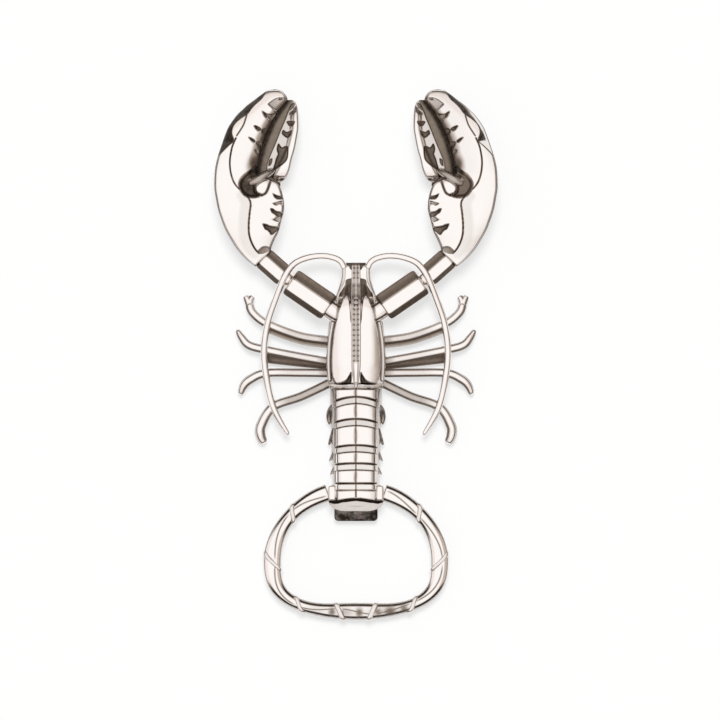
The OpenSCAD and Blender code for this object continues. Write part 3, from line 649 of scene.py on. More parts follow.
def ridge_top(x, y):
    """Row of beads between two lines, level over the head and plain at the rear."""
    a = np.abs(x)
    half = along(RIDGE_HALF, y)
    z = body_crown(y) + RIDGE_PROUD + 0 * x
    rear = COLLAR_TOP + RIDGE_PROUD + (12.0 - COLLAR_TOP) * ease(y, -9.4, -8.6)
    z = np.where(y < COLLAR_FRONT, rear, z)
    # Painted shade along the rails, between the beads and down the middle, along the edges and more on the
    # right one, and at the front end.
    cuts = Relief(x, y)
    beaded = ease(y, -3.2, -2.0)
    phase = (y + 2.2) / BEAD_PITCH
    bead = np.abs(np.sin(np.pi * phase)) ** 0.8
    cuts.add(bell(a - 0.55 * half, 0.16 * half), 0.2, 0.24)
    level = ease(y, 14.4, 18.6) * (1 - ease(y, 22.6, 23.4))
    gap = beaded * bell(a - 0.42 * half, 0.3 * half) * (1 - bead) ** 0.6
    cuts.add(gap, 0.22 - 0.19 * level, 0.84 - 0.6 * level)
    cuts.add(beaded * (1 - ease(a, 0.3 * half, 0.6 * half)), 0.0, 0.3)
    cuts.add(bell(half - a, 0.22), 0.1, 0.36 + 0.16 * np.sign(x))
    cuts.add(ease(y, 27.0, 27.5), 0.0, 0.66)
    rise = beaded * (0.16 - 0.14 * level) * bead * bell(a, 0.36 * half)
    return z + rise - cuts.drop, cuts.dark


PLATE_STARTS = (-10.71, -15.21, -22.01, -30.11, -35.71, -41.91)  # front of each plate, rear of the last
PLATE_SAGS = (0.0, 1.3, 0.98, 0.65, 0.33, 0.0)  # how far these edges bow to the rear at their sides
PLATE_HALVES = (8.0, 7.8, 7.6, 7.4, 7.2)
PLATE_TOPS = (9.5, 9.25, 8.95, 8.65, 8.35)
PLATE_BAND, PLATE_FOOT = 1.95, 1.2  # width of the rear band of a plate, level of its underside
PANEL_HALF = 6.3  # from the midline to the outside of a panel, where the side strip starts
STRIP_SHADE = (0.36, 0.35, 0.33, 0.29, 0.26)  # painted shade on the side strips, which turn down away from the light
BAND_SHADE = (0.16, 0.17, 0.17, 0.1, 0.06)  # painted shade on the rear bands
FLAPS = {  # plate: point and radius of the flap at its side
    2: [(6.9, -15.5, 6.6, 0.5), (7.9, -17.2, 4.2, 0.85), (8.4, -19.4, 2.8, 0.8), (8.2, -21.9, 2.4, 0.4)],
    3: [(6.6, -21.9, 6.9, 0.4), (7.2, -24.2, 5.2, 0.55), (7.8, -26.4, 3.2, 0.55), (8.4, -28.3, 2.4, 0.4)],
    4: [(6.6, -29.6, 6.6, 0.4), (7.3, -31.5, 4.4, 0.5), (8.2, -33.3, 2.5, 0.3)],
    5: [(6.6, -34.9, 6.4, 0.4), (7.2, -36.2, 4.2, 0.45), (7.9, -37.4, 2.5, 0.3)],
}


def plate_shape(i):
    """Tail plate i with a pillowed panel either side of the midline and a raised rear band."""
    start, end = PLATE_STARTS[i - 1], PLATE_STARTS[i]
    sag0, sag1 = PLATE_SAGS[i - 1], PLATE_SAGS[i]
    half, top = PLATE_HALVES[i - 1], PLATE_TOPS[i - 1]
    groove = end + PLATE_BAND

    def upper(x, y):
        a = np.abs(x)
        z = PLATE_FOOT + (top - PLATE_FOOT) * np.sqrt(1 - np.minimum(a / half, 0.995) ** 8)
        # Painted shade in the midline groove, as a shadow in the groove at the foot of the panel, as shadow
        # lines along the left side and the top edge, on the side strips, on the right of the panels and on
        # the rear band.
        cuts = Relief(x, y)
        wave = 0.06 * np.sin(1.3 * y + i)
        cuts.add(bell(x - wave, 0.13), 0.25, 0.74)
        reach = 0.75 + 0.25 * ease(a, 1.0, 5.0)
        shut = 1 - ease(a, PANEL_HALF - 0.2, PANEL_HALF + 0.5)
        cuts.add(shut * reach * bell(y - groove, 0.24), 0.5, 1.0)
        open_side = ease(y, groove, groove + 0.6)
        cuts.add(bell(x + PANEL_HALF + 0.1, 0.2) * open_side, 0.35, 0.8)
        cuts.add(bell(y - start, 0.22) * shut, 0.25, 0.75)
        cuts.add(ease(a, PANEL_HALF - 0.1, PANEL_HALF + 0.4), 0.0, STRIP_SHADE[i - 1] - 0.04 * np.sign(x))
        cuts.add(ease(x, 3.2, PANEL_HALF + 0.5), 0.0, 0.19)
        cuts.add(1 - ease(y, groove - 0.2, groove + 0.1), 0.0, BAND_SHADE[i - 1])
        pillow = 0.3 * np.clip(1 - np.abs(2 * (y - groove) / (start - groove) - 1) ** 4, 0, 1)
        pillow = pillow * ease(a, 0.0, 1.1) * (1 - ease(a, 3.5, PANEL_HALF + 0.8))
        return z + np.where(y > groove, pillow, 0.05) - cuts.drop, np.minimum(cuts.dark, 1)

    def bowed(x, y):
        sag = sag0 + (sag1 - sag0) * np.clip((start - y) / (start - groove), 0, 1)
        return x, y - sag * (np.minimum(np.abs(x), PANEL_HALF) / PANEL_HALF) ** 2

    rows = np.linspace(end, start, int((start - end) / 0.12))
    pieces = [slab("plate", rows, 0 * rows - half, 0 * rows + half, upper, PLATE_FOOT, 0.35, 110, bowed)]
    if i in FLAPS:
        section = circle(18)
        # The flaps are painted with shade, darker on one side.
        shade_and_dullness = 0.26 + 0.34 * ease(-section[:, 0], -0.3, 0.7)
        flap = swept("flap", rounded_ends(even_run(FLAPS[i], 40), 1.2, 1.2), section, shade_and_dullness)
        pieces += [flap, mirrored(flap, "flap")]
    return joined(f"tail_plate_shape_{i}", pieces)


SEGMENT_REAR, SEGMENT_FRONT = -44.9, -41.9
LEDGE_SPAN = (-48.7, -44.2)
LIP_TIP, LIP_CORNER = -51.7, 1.3  # front of the cap lip, radius of its corners
END_SCALLOP = [  # edge of the last segment over the ledge
    (-8.4, -45.3), (-6.6, -45.6), (-5.4, -45.5), (-4.4, -45.15), (-2.9, -45.05), (-1.2, -44.8), (0, -44.7),
    (1.4, -44.85), (3.0, -45.05), (4.4, -45.3), (5.5, -45.35), (6.6, -45.6), (8.4, -45.2),
]


def lip_top(x, y):
    """Top of the cap lip, bevelled down to its tip."""
    return 3.4 - 0.3 * past(-50.3 - y), 0 * x


def tail_end_shape():
    """Last segment with a ledge behind it and an ear at each side."""

    def segment_top(x, y):
        a = np.abs(x)
        z = 8.0 - 1.2 * (a / PANEL_HALF) ** 2
        # Painted shade in the grooves along the midline and the front, and as a shadow line along the left
        # side.
        cuts = Relief(x, y)
        cuts.add(bell(x, 0.2), 0.35, 0.6)
        cuts.add(bell(y + 42.1, 0.22), 0.25, 0.4)
        cuts.add(bell(x + 5.9, 0.25), 0.3, 0.6)
        return z - cuts.drop, cuts.dark

    def ledge_top(x, y):
        # Painted shadow under the scalloped edge of the last segment, a soft painted shade across the ledge
        # and a little all over it.
        cuts = Relief(x, y)
        edge = np.interp(x, *zip(*END_SCALLOP))
        cuts.add(ease(y - edge, -0.75, -0.35), 1.0, 1.1)
        cuts.spot((0.0, -47.1), (4.4, 0.4), 0, 0.08, 0.34)
        return 4.6 + 0.02 * x * x - cuts.drop, np.maximum(cuts.dark, 0.22)

    rows = np.linspace(SEGMENT_REAR, SEGMENT_FRONT, 30)
    half = along([(SEGMENT_REAR, 5.9), (-43.6, 6.25), (SEGMENT_FRONT, PANEL_HALF)], rows)

    def scallop(x, y):
        share = (y - SEGMENT_FRONT) / -3.0
        return x, y + share * (0.55 - 0.9 * (np.abs(x) / PANEL_HALF) ** 1.5)

    pieces = [slab("segment", rows, -half, half, segment_top, 0.0, 0.4, 100, scallop)]
    rows = np.linspace(*LEDGE_SPAN, 40)
    half = along([(-48.7, 3.4), (-48.4, 5.2), (-47.8, 6.7), (-46.9, 7.8), (-45.8, 8.4), (-44.2, 8.4)], rows)
    pieces.append(slab("ledge", rows, -half, half, ledge_top, 0.0, 0.35, 90))
    ear = block("ear", (6.0, -45.4, 0.0), (8.7, -40.5, 6.0), 0.9)
    pieces += [ear, mirrored(ear, "ear")]
    return joined("tail_end_shape", pieces)


CLAW_LEFT = [
    (31.0, 27.0), (28.8, 29.0), (26.7, 31.0), (26.0, 33.2), (25.1, 35.3), (23.9, 37.8), (23.1, 40.9),
    (22.3, 44.0), (22.2, 46.5), (22.6, 49.0), (23.2, 51.0), (24.0, 52.4), (26.0, 53.4), (29.0, 54.4),
    (30.2, 55.4), (30.4, 56.4), (29.9, 59.5), (29.1, 62.6), (28.1, 65.7), (26.8, 68.8), (25.4, 71.9),
    (23.9, 74.4), (22.3, 76.6), (21.2, 78.4), (21.7, 80.0), (23.2, 81.4), (25.1, 81.8),
]
CLAW_RIGHT = [
    (31.1, 27.0), (33.8, 29.1), (36.6, 32.2), (38.6, 35.3), (40.3, 38.4), (41.5, 41.5), (42.5, 44.6),
    (43.1, 47.7), (43.6, 50.8), (43.6, 53.9), (43.4, 57.0), (42.8, 60.1), (41.9, 63.2), (40.9, 66.3),
    (39.7, 69.4), (38.8, 71.0), (37.8, 72.5), (36.6, 74.1), (35.0, 75.6), (33.5, 77.0), (31.6, 78.4),
    (29.1, 80.3), (27.3, 81.4), (25.2, 81.8),
]
CLAW_CROWN = [  # place, height
    (27.0, 8.4), (29.7, 9.0), (32.9, 9.7), (37.1, 10.7), (41.9, 11.5), (47.2, 11.9), (52.5, 11.9),
    (60.4, 11.0), (66.3, 10.1), (71.6, 9.1), (76.9, 7.8), (80.0, 6.9), (81.8, 6.0),
]
CLAW_BEVEL = [  # width of the bevel along the outside of the finger, which is painted with shade
    (58.0, 0.0), (60.0, 0.2), (61.7, 0.9), (64.2, 2.6), (65.7, 3.7), (67.9, 2.3), (69.4, 1.8), (71.0, 1.7),
    (72.5, 2.3), (74.1, 3.4), (75.6, 2.9), (77.2, 2.6), (78.7, 2.2), (80.3, 1.2), (81.8, 0.3),
]
CLAW_SLOPE = [  # width of the slope from the finger into the gap
    (54.0, 0.0), (56.5, 1.6), (59.0, 3.0), (66.0, 4.0), (72.0, 3.6), (76.0, 3.2), (79.0, 1.6), (81.8, 0.0),
]
CREASE_FINGER = [
    (37.0, 66.6), (37.8, 64.8), (38.3, 63.2), (38.8, 60.1), (38.8, 57.7), (38.4, 55.2), (37.5, 52.7),
    (36.0, 50.8),
]
LEAF_PATCH = [(33.5, 74.8), (34.3, 71.8), (35.0, 70.1), (36.8, 67.3)]
CREASE_PALM = [
    (33.5, 48.7), (32.4, 46.5), (32.7, 43.4), (33.0, 40.0), (32.9, 36.9), (32.2, 34.4), (31.0, 32.2),
    (29.8, 31.0),
]
FACET = [(26.4, 53.0), (26.9, 51.3), (27.7, 49.6), (29.0, 48.8)]
CLAW_SHARDS = [  # outline, depth, darkness of the painted shade in the chip
    ([(27.3, 77.2), (25.6, 78.5), (24.4, 79.1), (22.9, 79.4), (21.3, 79.0), (20.8, 77.6), (21.8, 76.3),
      (22.7, 75.0), (23.6, 74.1), (24.9, 75.0), (26.2, 76.1)], 0.5, 0.42),
    ([(24.4, 78.6), (23.6, 79.1), (22.3, 79.1), (22.5, 78.4), (23.6, 78.2)], 0.7, 0.95),
    ([(29.1, 75.2), (28.0, 74.5), (27.3, 73.9), (27.4, 72.8), (28.2, 73.2)], 1.0, 1.0),
    ([(28.0, 74.5), (26.7, 74.1), (25.0, 73.9), (26.1, 72.3), (27.3, 72.5)], 0.6, 0.58),
    ([(31.6, 70.5), (30.4, 70.3), (29.1, 69.4), (29.9, 68.7), (30.8, 69.2)], 1.0, 1.0),
    ([(29.2, 69.2), (27.9, 69.6), (26.5, 68.6), (26.6, 67.4), (27.8, 67.2), (29.0, 68.2)], 0.5, 0.6),
    ([(33.3, 67.0), (32.1, 66.6), (30.9, 65.7), (31.5, 65.1), (32.4, 65.8)], 1.0, 1.0),
    ([(31.0, 65.4), (29.5, 65.4), (28.8, 64.2), (29.2, 63.2), (30.4, 64.2)], 0.5, 0.58),
    ([(31.4, 63.1), (30.3, 62.8), (29.9, 61.7), (31.0, 62.1)], 0.5, 0.66),
    ([(25.6, 49.5), (24.4, 48.9), (23.0, 48.6), (22.1, 48.3), (22.2, 47.1), (23.3, 47.6), (24.4, 47.7),
      (25.2, 48.4)], 1.0, 1.0),
    ([(25.8, 46.4), (24.6, 46.7), (22.7, 47.1), (22.5, 45.7), (23.4, 46.1), (24.6, 45.7)], 0.5, 0.6),
    ([(26.4, 44.8), (25.5, 44.7), (24.5, 44.0), (22.5, 43.5), (22.6, 42.4), (23.9, 42.1), (24.9, 42.9),
      (25.9, 43.6)], 1.0, 0.95),
    ([(26.5, 41.5), (25.3, 41.6), (24.3, 42.3), (23.1, 41.8), (23.8, 40.7), (25.3, 41.1)], 0.5, 0.55),
    ([(28.8, 40.1), (27.5, 39.9), (26.3, 39.4), (23.6, 39.0), (23.7, 38.3), (24.9, 37.4), (26.0, 36.7),
      (27.0, 37.9), (28.0, 38.5)], 1.1, 0.95),
    ([(30.4, 31.6), (29.0, 32.9), (27.5, 33.1), (25.7, 32.4), (27.7, 31.2), (29.4, 30.8)], 0.5, 0.62),
]
# Painted shade, which the light leaves unlike on the two claws: the share of it lifted from the outer bevel,
# darkness of the bulb and of the gap, power by which the gap's slope fades, and shade on the finger.
CLAW_SHADE = {
    "left": (0.0, 0.9, 0.75, 1.4, 0.0),
    "right": (0.9, 0.7, 0.82, 1.0, 0.05),
}
CLAW_SPAN, THUMB_SPAN, FLOOR_SPAN = (27.0, 81.78), (53.0, 78.38), (52.0, 78.6)
CLAW_FLOOR = 3.0  # level of the floor between the two fingers
BULB = [  # the hollow at the root of the gap
    (31.0, 58.3), (32.9, 56.4), (34.7, 54.9), (36.0, 52.7), (35.7, 50.5), (33.8, 48.4), (31.0, 48.1),
    (28.8, 49.0), (30.4, 49.9), (30.7, 51.5), (29.1, 53.0), (26.7, 54.6), (27.9, 56.4),
]


def edge_at(line, y):
    """Where an outline runs at a place."""
    return along([(py, px) for px, py in line], y)


def claw_top(x, y, finish):
    """Crowned palm and finger, with a bevel outside, a slope into the gap, creases and chips."""
    # finish holds the painted shade of the claw's side.
    fade, bulb, gap_dark, gap_power, shade_and_dullness = finish
    left, right = edge_at(CLAW_LEFT, y), edge_at(CLAW_RIGHT, y)
    width = np.maximum(right - left, 0.2)
    u = (x - left) / width
    z = along(CLAW_CROWN, y) - 0.06 * width * (2 * u - 1) ** 2
    bevel = along(CLAW_BEVEL, y) - (right - x)
    z = z - 0.75 * past(bevel)
    slope = along(CLAW_SLOPE, y)
    fall = np.maximum(slope - (x - left), 0)
    z = z - 0.42 * fall * fall / np.maximum(slope, 0.5)
    # Painted shade on the slope into the gap and on the finger beside it, on the outer bevel, in the creases
    # and grooves, softly beside the palm crease, in the bulb and above it, and in the chips.
    cuts = Relief(x, y)
    cuts.add((fall / np.maximum(slope, 0.5)) ** gap_power * ease(y, 55.0, 57.0), 0.0, gap_dark)
    cuts.add((1 - ease(x - left, 4.0, 10.0)) * ease(y, 53.0, 57.0), 0.0, shade_and_dullness)
    soft = 0.3 + 1.1 * ease(y, 71.0, 75.0)
    shade_lifted = fade * ease(bevel, soft, 2.2 * soft)
    cuts.add(ease(bevel, -0.1, 0.4) * (1 - shade_lifted), 0.0, 0.92)
    cuts.groove(CREASE_FINGER, 0.3, 0.35, 0.8)
    cuts.groove(CREASE_PALM, 0.32, 0.4, 0.85)
    cuts.groove([(px + 1.6, py) for px, py in CREASE_PALM], 2.2, 0.0, 0.09)
    cuts.groove(LEAF_PATCH, 0.28, 0.25, 0.6)
    cuts.groove(FACET, 0.5, 0.3, 0.9)
    cuts.hollow(BULB, 1.2, 2.4, bulb)
    cuts.spot((31.4, 58.6), (1.7, 3.0), 10, 0.5, 0.7)
    for outline, deep, dark in CLAW_SHARDS:
        cuts.hollow(outline, 0.4, deep, dark, 0.4)
    # Knob in the bulb, raised, with a painted highlight that lightens the shade on it.
    knob = np.exp(-(((x - 32.3) / 1.3) ** 2 + ((y - 53.8) / 1.1) ** 2))
    return z - cuts.drop + 0.9 * knob, cuts.dark * (1 - 0.45 * knob)


THUMB_LEFT = [
    (23.6, 53.0), (22.4, 53.6), (21.4, 54.8), (20.5, 57.0), (19.8, 60.1), (18.9, 63.2), (18.3, 66.3),
    (17.8, 69.4), (17.8, 72.5), (18.0, 75.6), (18.6, 77.6), (19.3, 78.4),
]
THUMB_RIGHT = [
    (23.8, 53.0), (25.8, 54.2), (27.2, 55.6), (27.6, 56.9), (27.4, 58.9), (26.4, 61.7), (25.2, 64.5),
    (24.1, 67.3), (23.0, 70.1), (22.0, 72.5), (21.1, 75.0), (20.2, 77.0), (19.4, 78.4),
]
THUMB_CROWN = [  # place, height
    (53.0, 6.5), (55.0, 8.0), (58.0, 8.9), (62.0, 9.1), (66.0, 8.8), (70.0, 8.2), (74.0, 7.2), (77.0, 5.8),
    (78.4, 4.8),
]
THUMB_STRIP = [  # place, width of the bright strip on the side of the midline
    (53.0, 4.0), (57.0, 3.4), (61.0, 2.4), (66.0, 2.0), (71.0, 1.7), (75.0, 1.4), (78.4, 1.0),
]
THUMB_SHARDS = [  # outline, depth, darkness of the painted shade in the chip
    ([(18.5, 77.5), (17.8, 76.6), (18.5, 74.9), (19.5, 73.8), (20.6, 74.0), (20.2, 75.0),
      (19.1, 76.1)], 0.5, 0.66),
    ([(21.5, 71.7), (20.7, 72.0), (19.0, 71.9), (19.0, 71.2), (19.8, 70.2), (20.7, 70.5)], 0.7, 0.8),
    ([(22.9, 68.0), (22.5, 69.1), (21.3, 68.5), (19.9, 69.1), (20.1, 67.6), (21.1, 66.7),
      (22.1, 67.2)], 0.8, 0.85),
    ([(24.0, 61.7), (24.4, 63.2), (23.9, 64.9), (22.9, 63.7), (21.8, 64.1), (20.9, 63.6), (21.1, 60.4),
      (22.2, 58.8), (23.8, 57.6), (25.6, 56.6), (25.0, 58.8), (24.7, 60.1)], 1.0, 0.86),
    ([(26.9, 59.9), (25.8, 60.3), (26.1, 58.6), (27.0, 58.0)], 0.6, 0.8),
]


def thumb_top(x, y):
    """Bright strip with a lower, chipped side towards the gap."""
    left = edge_at(THUMB_LEFT, y)
    d = x - left
    strip = along(THUMB_STRIP, y)
    low = ease(d, strip - 0.2, strip + 1.2)
    z = along(THUMB_CROWN, y) - 0.12 * np.maximum(1.2 - d, 0) ** 2 - 0.7 * low
    # Painted shade along the edge of the strip, on the lower side, in the chips and at the root.
    cuts = Relief(x, y)
    cuts.add(bell(d - strip, 0.35), 0.15, 0.45)
    cuts.add(low, 0.0, 0.2)
    for outline, deep, dark in THUMB_SHARDS:
        cuts.hollow(outline, 0.35, deep, dark, 0.2)
    cuts.spot((22.8, 53.9), (1.0, 0.6), 0, 0.6, 0.9)
    return z - cuts.drop, cuts.dark


def claw_shape(side):
    """Claw as it lies on the right, with the painted shade of a side, its floor and the bar over the bulb.
    """

    def upper(x, y):
        return claw_top(x, y, CLAW_SHADE[side])

    rows = np.linspace(*CLAW_SPAN, 250)
    # rim paints shade along the edges of the claw.
    shell = slab(
        "claw", rows, edge_at(CLAW_LEFT, rows), edge_at(CLAW_RIGHT, rows), upper, 0.0, 0.9, 150, rim=0.8
    )

    def floor_top(x, y):
        # The floor of the gap is painted with shade, darker along the foot of the finger's wall.
        wall = edge_at(CLAW_LEFT, y) - x
        return CLAW_FLOOR + 0 * x, 0.57 + 0.38 * (1 - ease(wall, 0.2, 1.6))

    rows = np.linspace(*FLOOR_SPAN, 80)
    floor = slab(
        "floor", rows, edge_at(THUMB_LEFT, np.clip(rows, 53.4, 78)) + 0.7, edge_at(CLAW_LEFT, rows) + 0.6,
        floor_top, 0.0, 0.3, 30,
    )
    # The bar over the bulb is painted with shade.
    bar = [(33.2, 52.2, 9.0, 0.9), (30.4, 53.6, 9.9, 1.35), (27.9, 55.2, 9.4, 1.25), (25.2, 56.7, 8.0, 0.8)]
    bar = swept("bar", rounded_ends(even_run(bar, 30), 1.2, 0.8), circle(18), 0.36)
    return joined("claw", [shell, floor, bar])


def thumb_shape():
    """Thumb as it lies on the right, just above the floor of the claw."""
    rows = np.linspace(*THUMB_SPAN, 150)
    # rim paints shade along the edges of the thumb.
    return slab(
        "thumb", rows, edge_at(THUMB_LEFT, rows), edge_at(THUMB_RIGHT, rows), thumb_top,
        CLAW_FLOOR + 0.02, 0.6, 80, rim=0.5,
    )


SHOULDER, ELBOW = (7.6, 13.69, 5.0), (20.704, 22.694, 5.0)
UPPER_ANGLE, FORE_ANGLE = 34.5, 41.5
TURNINGS = {  # start and direction of the axis, then distance and radius along it
    "shoulder": (SHOULDER, UPPER_ANGLE, [
        (-3.3, 0), (-3.3, 3.0), (-3.0, 3.2), (1.0, 3.4), (1.4, 3.2), (1.6, 1.7), (4.0, 1.6), (4.0, 0),
    ]),
    "elbow": (ELBOW, FORE_ANGLE, [
        (-2.6, 0), (-2.6, 1.6), (-0.6, 1.7), (-0.4, 2.3), (0.1, 2.55), (1.4, 2.6), (2.8, 2.55),
        (3.2, 2.3), (3.3, 1.7), (5.0, 1.6), (5.0, 0),
    ]),
}
ARM_BARS = {  # start and direction of the axis, near and far end along it, size of the section
    "upper_arm": (SHOULDER, UPPER_ANGLE, 0.9, 15.4, 1.0),
    "forearm": (ELBOW, FORE_ANGLE, 1.8, 10.6, 0.8),
}
LEGS = [  # root, then middle, knee, bend, hook and tip
    [(8.96, 4.29), (17.36, 5.59), (27.36, 9.29), (31.76, 12.59), (32.96, 15.29), (33.16, 17.99)],
    [(9.39, -2.21), (17.39, -0.81), (28.39, 1.39), (33.19, 2.79), (35.39, 5.19), (36.89, 7.69)],
    [(9.09, -5.91), (17.29, -5.81), (27.89, -5.91), (32.69, -7.81), (34.89, -9.91), (35.89, -12.71)],
    [(8.48, -9.11), (16.98, -13.11), (25.58, -16.31), (29.38, -22.01), (29.48, -25.41), (28.28, -27.71)],
]
LEG_LEVELS = (3.2, 3.2, 3.2, 2.9, 2.4, 1.8)
LEG_RADII = (
    (1.3, 1.3, 1.3, 1.3, 1.3, 1.2), (1.3, 1.3, 1.3, 1.3, 1.1, 0.6),
    (1.3, 1.3, 1.3, 1.4, 1.25, 0.75), (1.4, 1.4, 1.4, 1.55, 1.5, 1.2),
)
LEG_TONES = (0.16, 0.08, 0.12, 0.32)  # painted shade on a leg between the body and the antenna
FINS = {  # leg: reach and foot of the web on its rear, which is painted dark as the shade between the legs, its darkness and fade, size at its two ends
    0: (2.5, -0.1, 0.62, 0.25, 1.0, 1.0),
    1: (3.4, -1.2, 0.56, 0.22, 0.72, 1.2),
}
PRONG_TIPS = ((34.3, 18.1), (31.9, 18.0))
ANTENNA_TIP, ANTENNA_FLAT = 0.66, 0.85  # radius at the free end, height for its width
ANTENNA = [
    (3.6, 26.49, 7.0), (4.7, 28.53, 7.1), (6.92, 29.76, 7.29), (10.6, 30.33, 7.61), (15.02, 29.7, 7.99),
    (19.07, 27.83, 8.34), (22.02, 23.86, 8.6), (24.9, 16.8, 7.0), (27.36, 9.29, 5.4), (28.39, 1.39, 5.4),
    (27.89, -5.91, 5.4), (25.58, -16.31, 5.4), (20.78, -25.11, 4.4),
]
ARM_SECTION = worn([  # a flat crest, and bevels to the front at the left and to the rear at the right
    (-1.0, 4.4), (2.5, 4.4), (4.4, 2.5), (4.6, 1.0), (4.4, -2.6), (3.4, -4.3), (-3.4, -4.3), (-4.4, -2.6),
    (-4.6, 1.2), (-4.4, 2.7), (-1.5, 4.1),
])


def arm_bar(name, start, angle, near, far, size):
    """Arm casting with a flat crest and wide bevels, drawn in at its ends."""
    ahead = np.array([math.cos(math.radians(angle)), math.sin(math.radians(angle)), 0])
    place = np.r_[near, near + 0.12, near + 0.35, near + 0.8, np.linspace(near + 1.4, far - 1.4, 12),
                  far - 0.8, far - 0.35, far - 0.12, far]
    draw = size * np.r_[0.8, 0.9, 0.96, 0.99, np.ones(12), 0.99, 0.96, 0.9, 0.8]
    path = np.column_stack([np.array(start) + place[:, None] * ahead, draw])
    across, height = ARM_SECTION.T
    # Painted shade on the upper part of the bevels: on the front one, a little lighter further out, and on
    # the rear one.
    front = ease(-across, 1.3, 1.7) * (0.7 - 0.16 * ease(-across, 2.4, 3.6))
    rear = 0.72 * ease(across, 2.5, 2.9)
    return swept(name, path, ARM_SECTION, ease(height, 2.2, 2.8) * (front + rear))


def leg_path(i, count):
    """Rows along a leg, from inside the body to its tip."""
    keys = [(*p, z, r) for p, z, r in zip(LEGS[i], LEG_LEVELS, LEG_RADII[i])]
    step = np.subtract(keys[1], keys[0])
    inside = np.subtract(keys[0], 1.9 * step / np.hypot(step[0], step[1]))
    return even_run([tuple(inside)] + keys, count)


def shade_painted_wire(name, path, tone=0.0):
    """Round wire with painted shade on its rear side, a painted shade line along the front and painted shade
    on its inner stretch.
    """
    section = circle(24)
    shade_and_dullness = 0.7 * ease(section[:, 0], 0.3, 0.85) + 0.4 * ease(-section[:, 0], 0.5, 0.95)
    root = np.maximum(0.38 * (1 - ease(path[:, 0], 9.0, 14.0)), tone * (1 - ease(path[:, 0], 20.0, 26.0)))
    root = np.pad(root, 1, mode="edge")
    return swept(name, path, section, np.maximum(shade_and_dullness, root[:, None]))


def fin_shape(i):
    """Web along the rear of a leg, painted dark as the shade between the legs."""
    reach, foot, dark, fade, near, far = FINS[i]
    path = leg_path(i, 200)
    path = path[(path[:, 0] > 8.2) & (path[:, 0] < 26.8 + i)]
    path[:, 3] = np.linspace(near, far, len(path))
    section = worn([
        (0.4, 0.95), (0.8, 0.85), (1.4, 0.15), (reach, foot), (reach - 0.1, foot - 0.4), (0.3, -0.6),
    ])
    return swept("fin", path, section, dark - fade * ease(section[:, 0], 1.4, reach))


def leg_shape(i):
    """Leg with its web, and on the first one a tip of two prongs."""
    path = leg_path(i, 90)
    path = rounded_ends(path[path[:, 1] < 16.0] if i == 0 else path, 0.0, 1.0)
    pieces = [shade_painted_wire("leg", path, LEG_TONES[i])]
    if i in FINS:
        pieces.append(fin_shape(i))
    for tip in PRONG_TIPS if i == 0 else ():
        bend = 33.1 + 0.35 * (tip[0] - 33.1)
        prong = even_run([(33.0, 15.2, 2.3, 1.1), (bend, 16.6, 2.1, 1.05), (*tip, 1.9, 0.8)], 24)
        pieces.append(shade_painted_wire("prong", rounded_ends(prong, 0.0, 0.5)))
    return joined("leg", pieces)


def antenna_shape():
    """Bowed wire that thins to its free end."""
    size = bpy.context.scene.lobster_sizes
    radii = [size.antenna_radius / MM] * (len(ANTENNA) - 1) + [ANTENNA_TIP]
    path = even_run([(*p, r) for p, r in zip(ANTENNA, radii)], 240)
    return swept("antenna", rounded_ends(path, 0.0, 1.0), circle(20, ANTENNA_FLAT))


# The hoop at the tail


HOOP_HALF, HOOP_RISE, HOOP_DROP, HOOP_MIDDLE = 25.9, 22.4, 15.6, -64.0108
HOOP_POWER = 2.8  # squareness of the lower half
HOOP_BAND = 5.2  # width of the band where it is widest
HOOP_WAISTS = (0.96, 1.6)  # loss of width at the waist of the upper and of the lower stretch
HOOP_TURN = 0.454667  # share of the half hoop where the upper stretch ends
EAR_HALF = 8.7
LASHING_PLACES = (0.2, 0.46, 0.72, 0.92)  # shares of the half hoop
LASHING_SLANTS = (3.2, 5.0, -3.4, -2.4)  # how far a strap runs along the hoop as it crosses the band
HOOP_SHADES = (  # painted shade on the band: place from the middle of the far bar, reach, darkness
    (-12.0, 3.5, 0.14), (-7.4, 1.2, 0.55), (-3.6, 3.0, 0.3), (-4.0, 0.6, 0.44), (1.0, 1.2, 0.62),
    (6.8, 1.5, 0.54), (9.5, 6.0, 0.3), (10.5, 2.2, 0.64), (14.8, 1.4, 0.54),
)


def hoop_half():
    """Centre line of the right half of the hoop, with the length to each point."""
    a = math.acos(EAR_HALF / HOOP_HALF) * (1 - np.arange(49) / 48)
    upper = np.stack([HOOP_HALF * np.cos(a), HOOP_RISE * np.sin(a)], axis=1)
    a = np.pi / 2 * (np.arange(1, 121) / 120) ** 1.4
    power = 2 / HOOP_POWER
    lower = np.stack([HOOP_HALF * np.cos(a).clip(0) ** power, -HOOP_DROP * np.sin(a) ** power], axis=1)
    line = np.concatenate([upper, lower])
    line[:, 1] += HOOP_MIDDLE
    return line, np.r_[0, np.cumsum(np.linalg.norm(np.diff(line, axis=0), axis=1))]


HOOP, HOOP_LENGTHS = hoop_half()
HOOP_TOTAL = HOOP_LENGTHS[-1]


def hoop_at(s):
    """Point of the centre line at a distance along the hoop, right half first."""
    t = np.minimum(s, 2 * HOOP_TOTAL - s)
    return (
        np.where(s <= HOOP_TOTAL, 1, -1) * np.interp(t, HOOP_LENGTHS, HOOP[:, 0]),
        np.interp(t, HOOP_LENGTHS, HOOP[:, 1]),
    )


def hoop_place(q, s):
    """Point at a distance along the hoop and across its band, outwards."""
    x0, y0 = hoop_at(np.clip(s - 0.5, 0, 2 * HOOP_TOTAL))
    x1, y1 = hoop_at(np.clip(s + 0.5, 0, 2 * HOOP_TOTAL))
    dx, dy = x1 - x0, y1 - y0
    size = np.hypot(dx, dy)
    x, y = hoop_at(s)
    return x - dy / size * q, y + dx / size * q


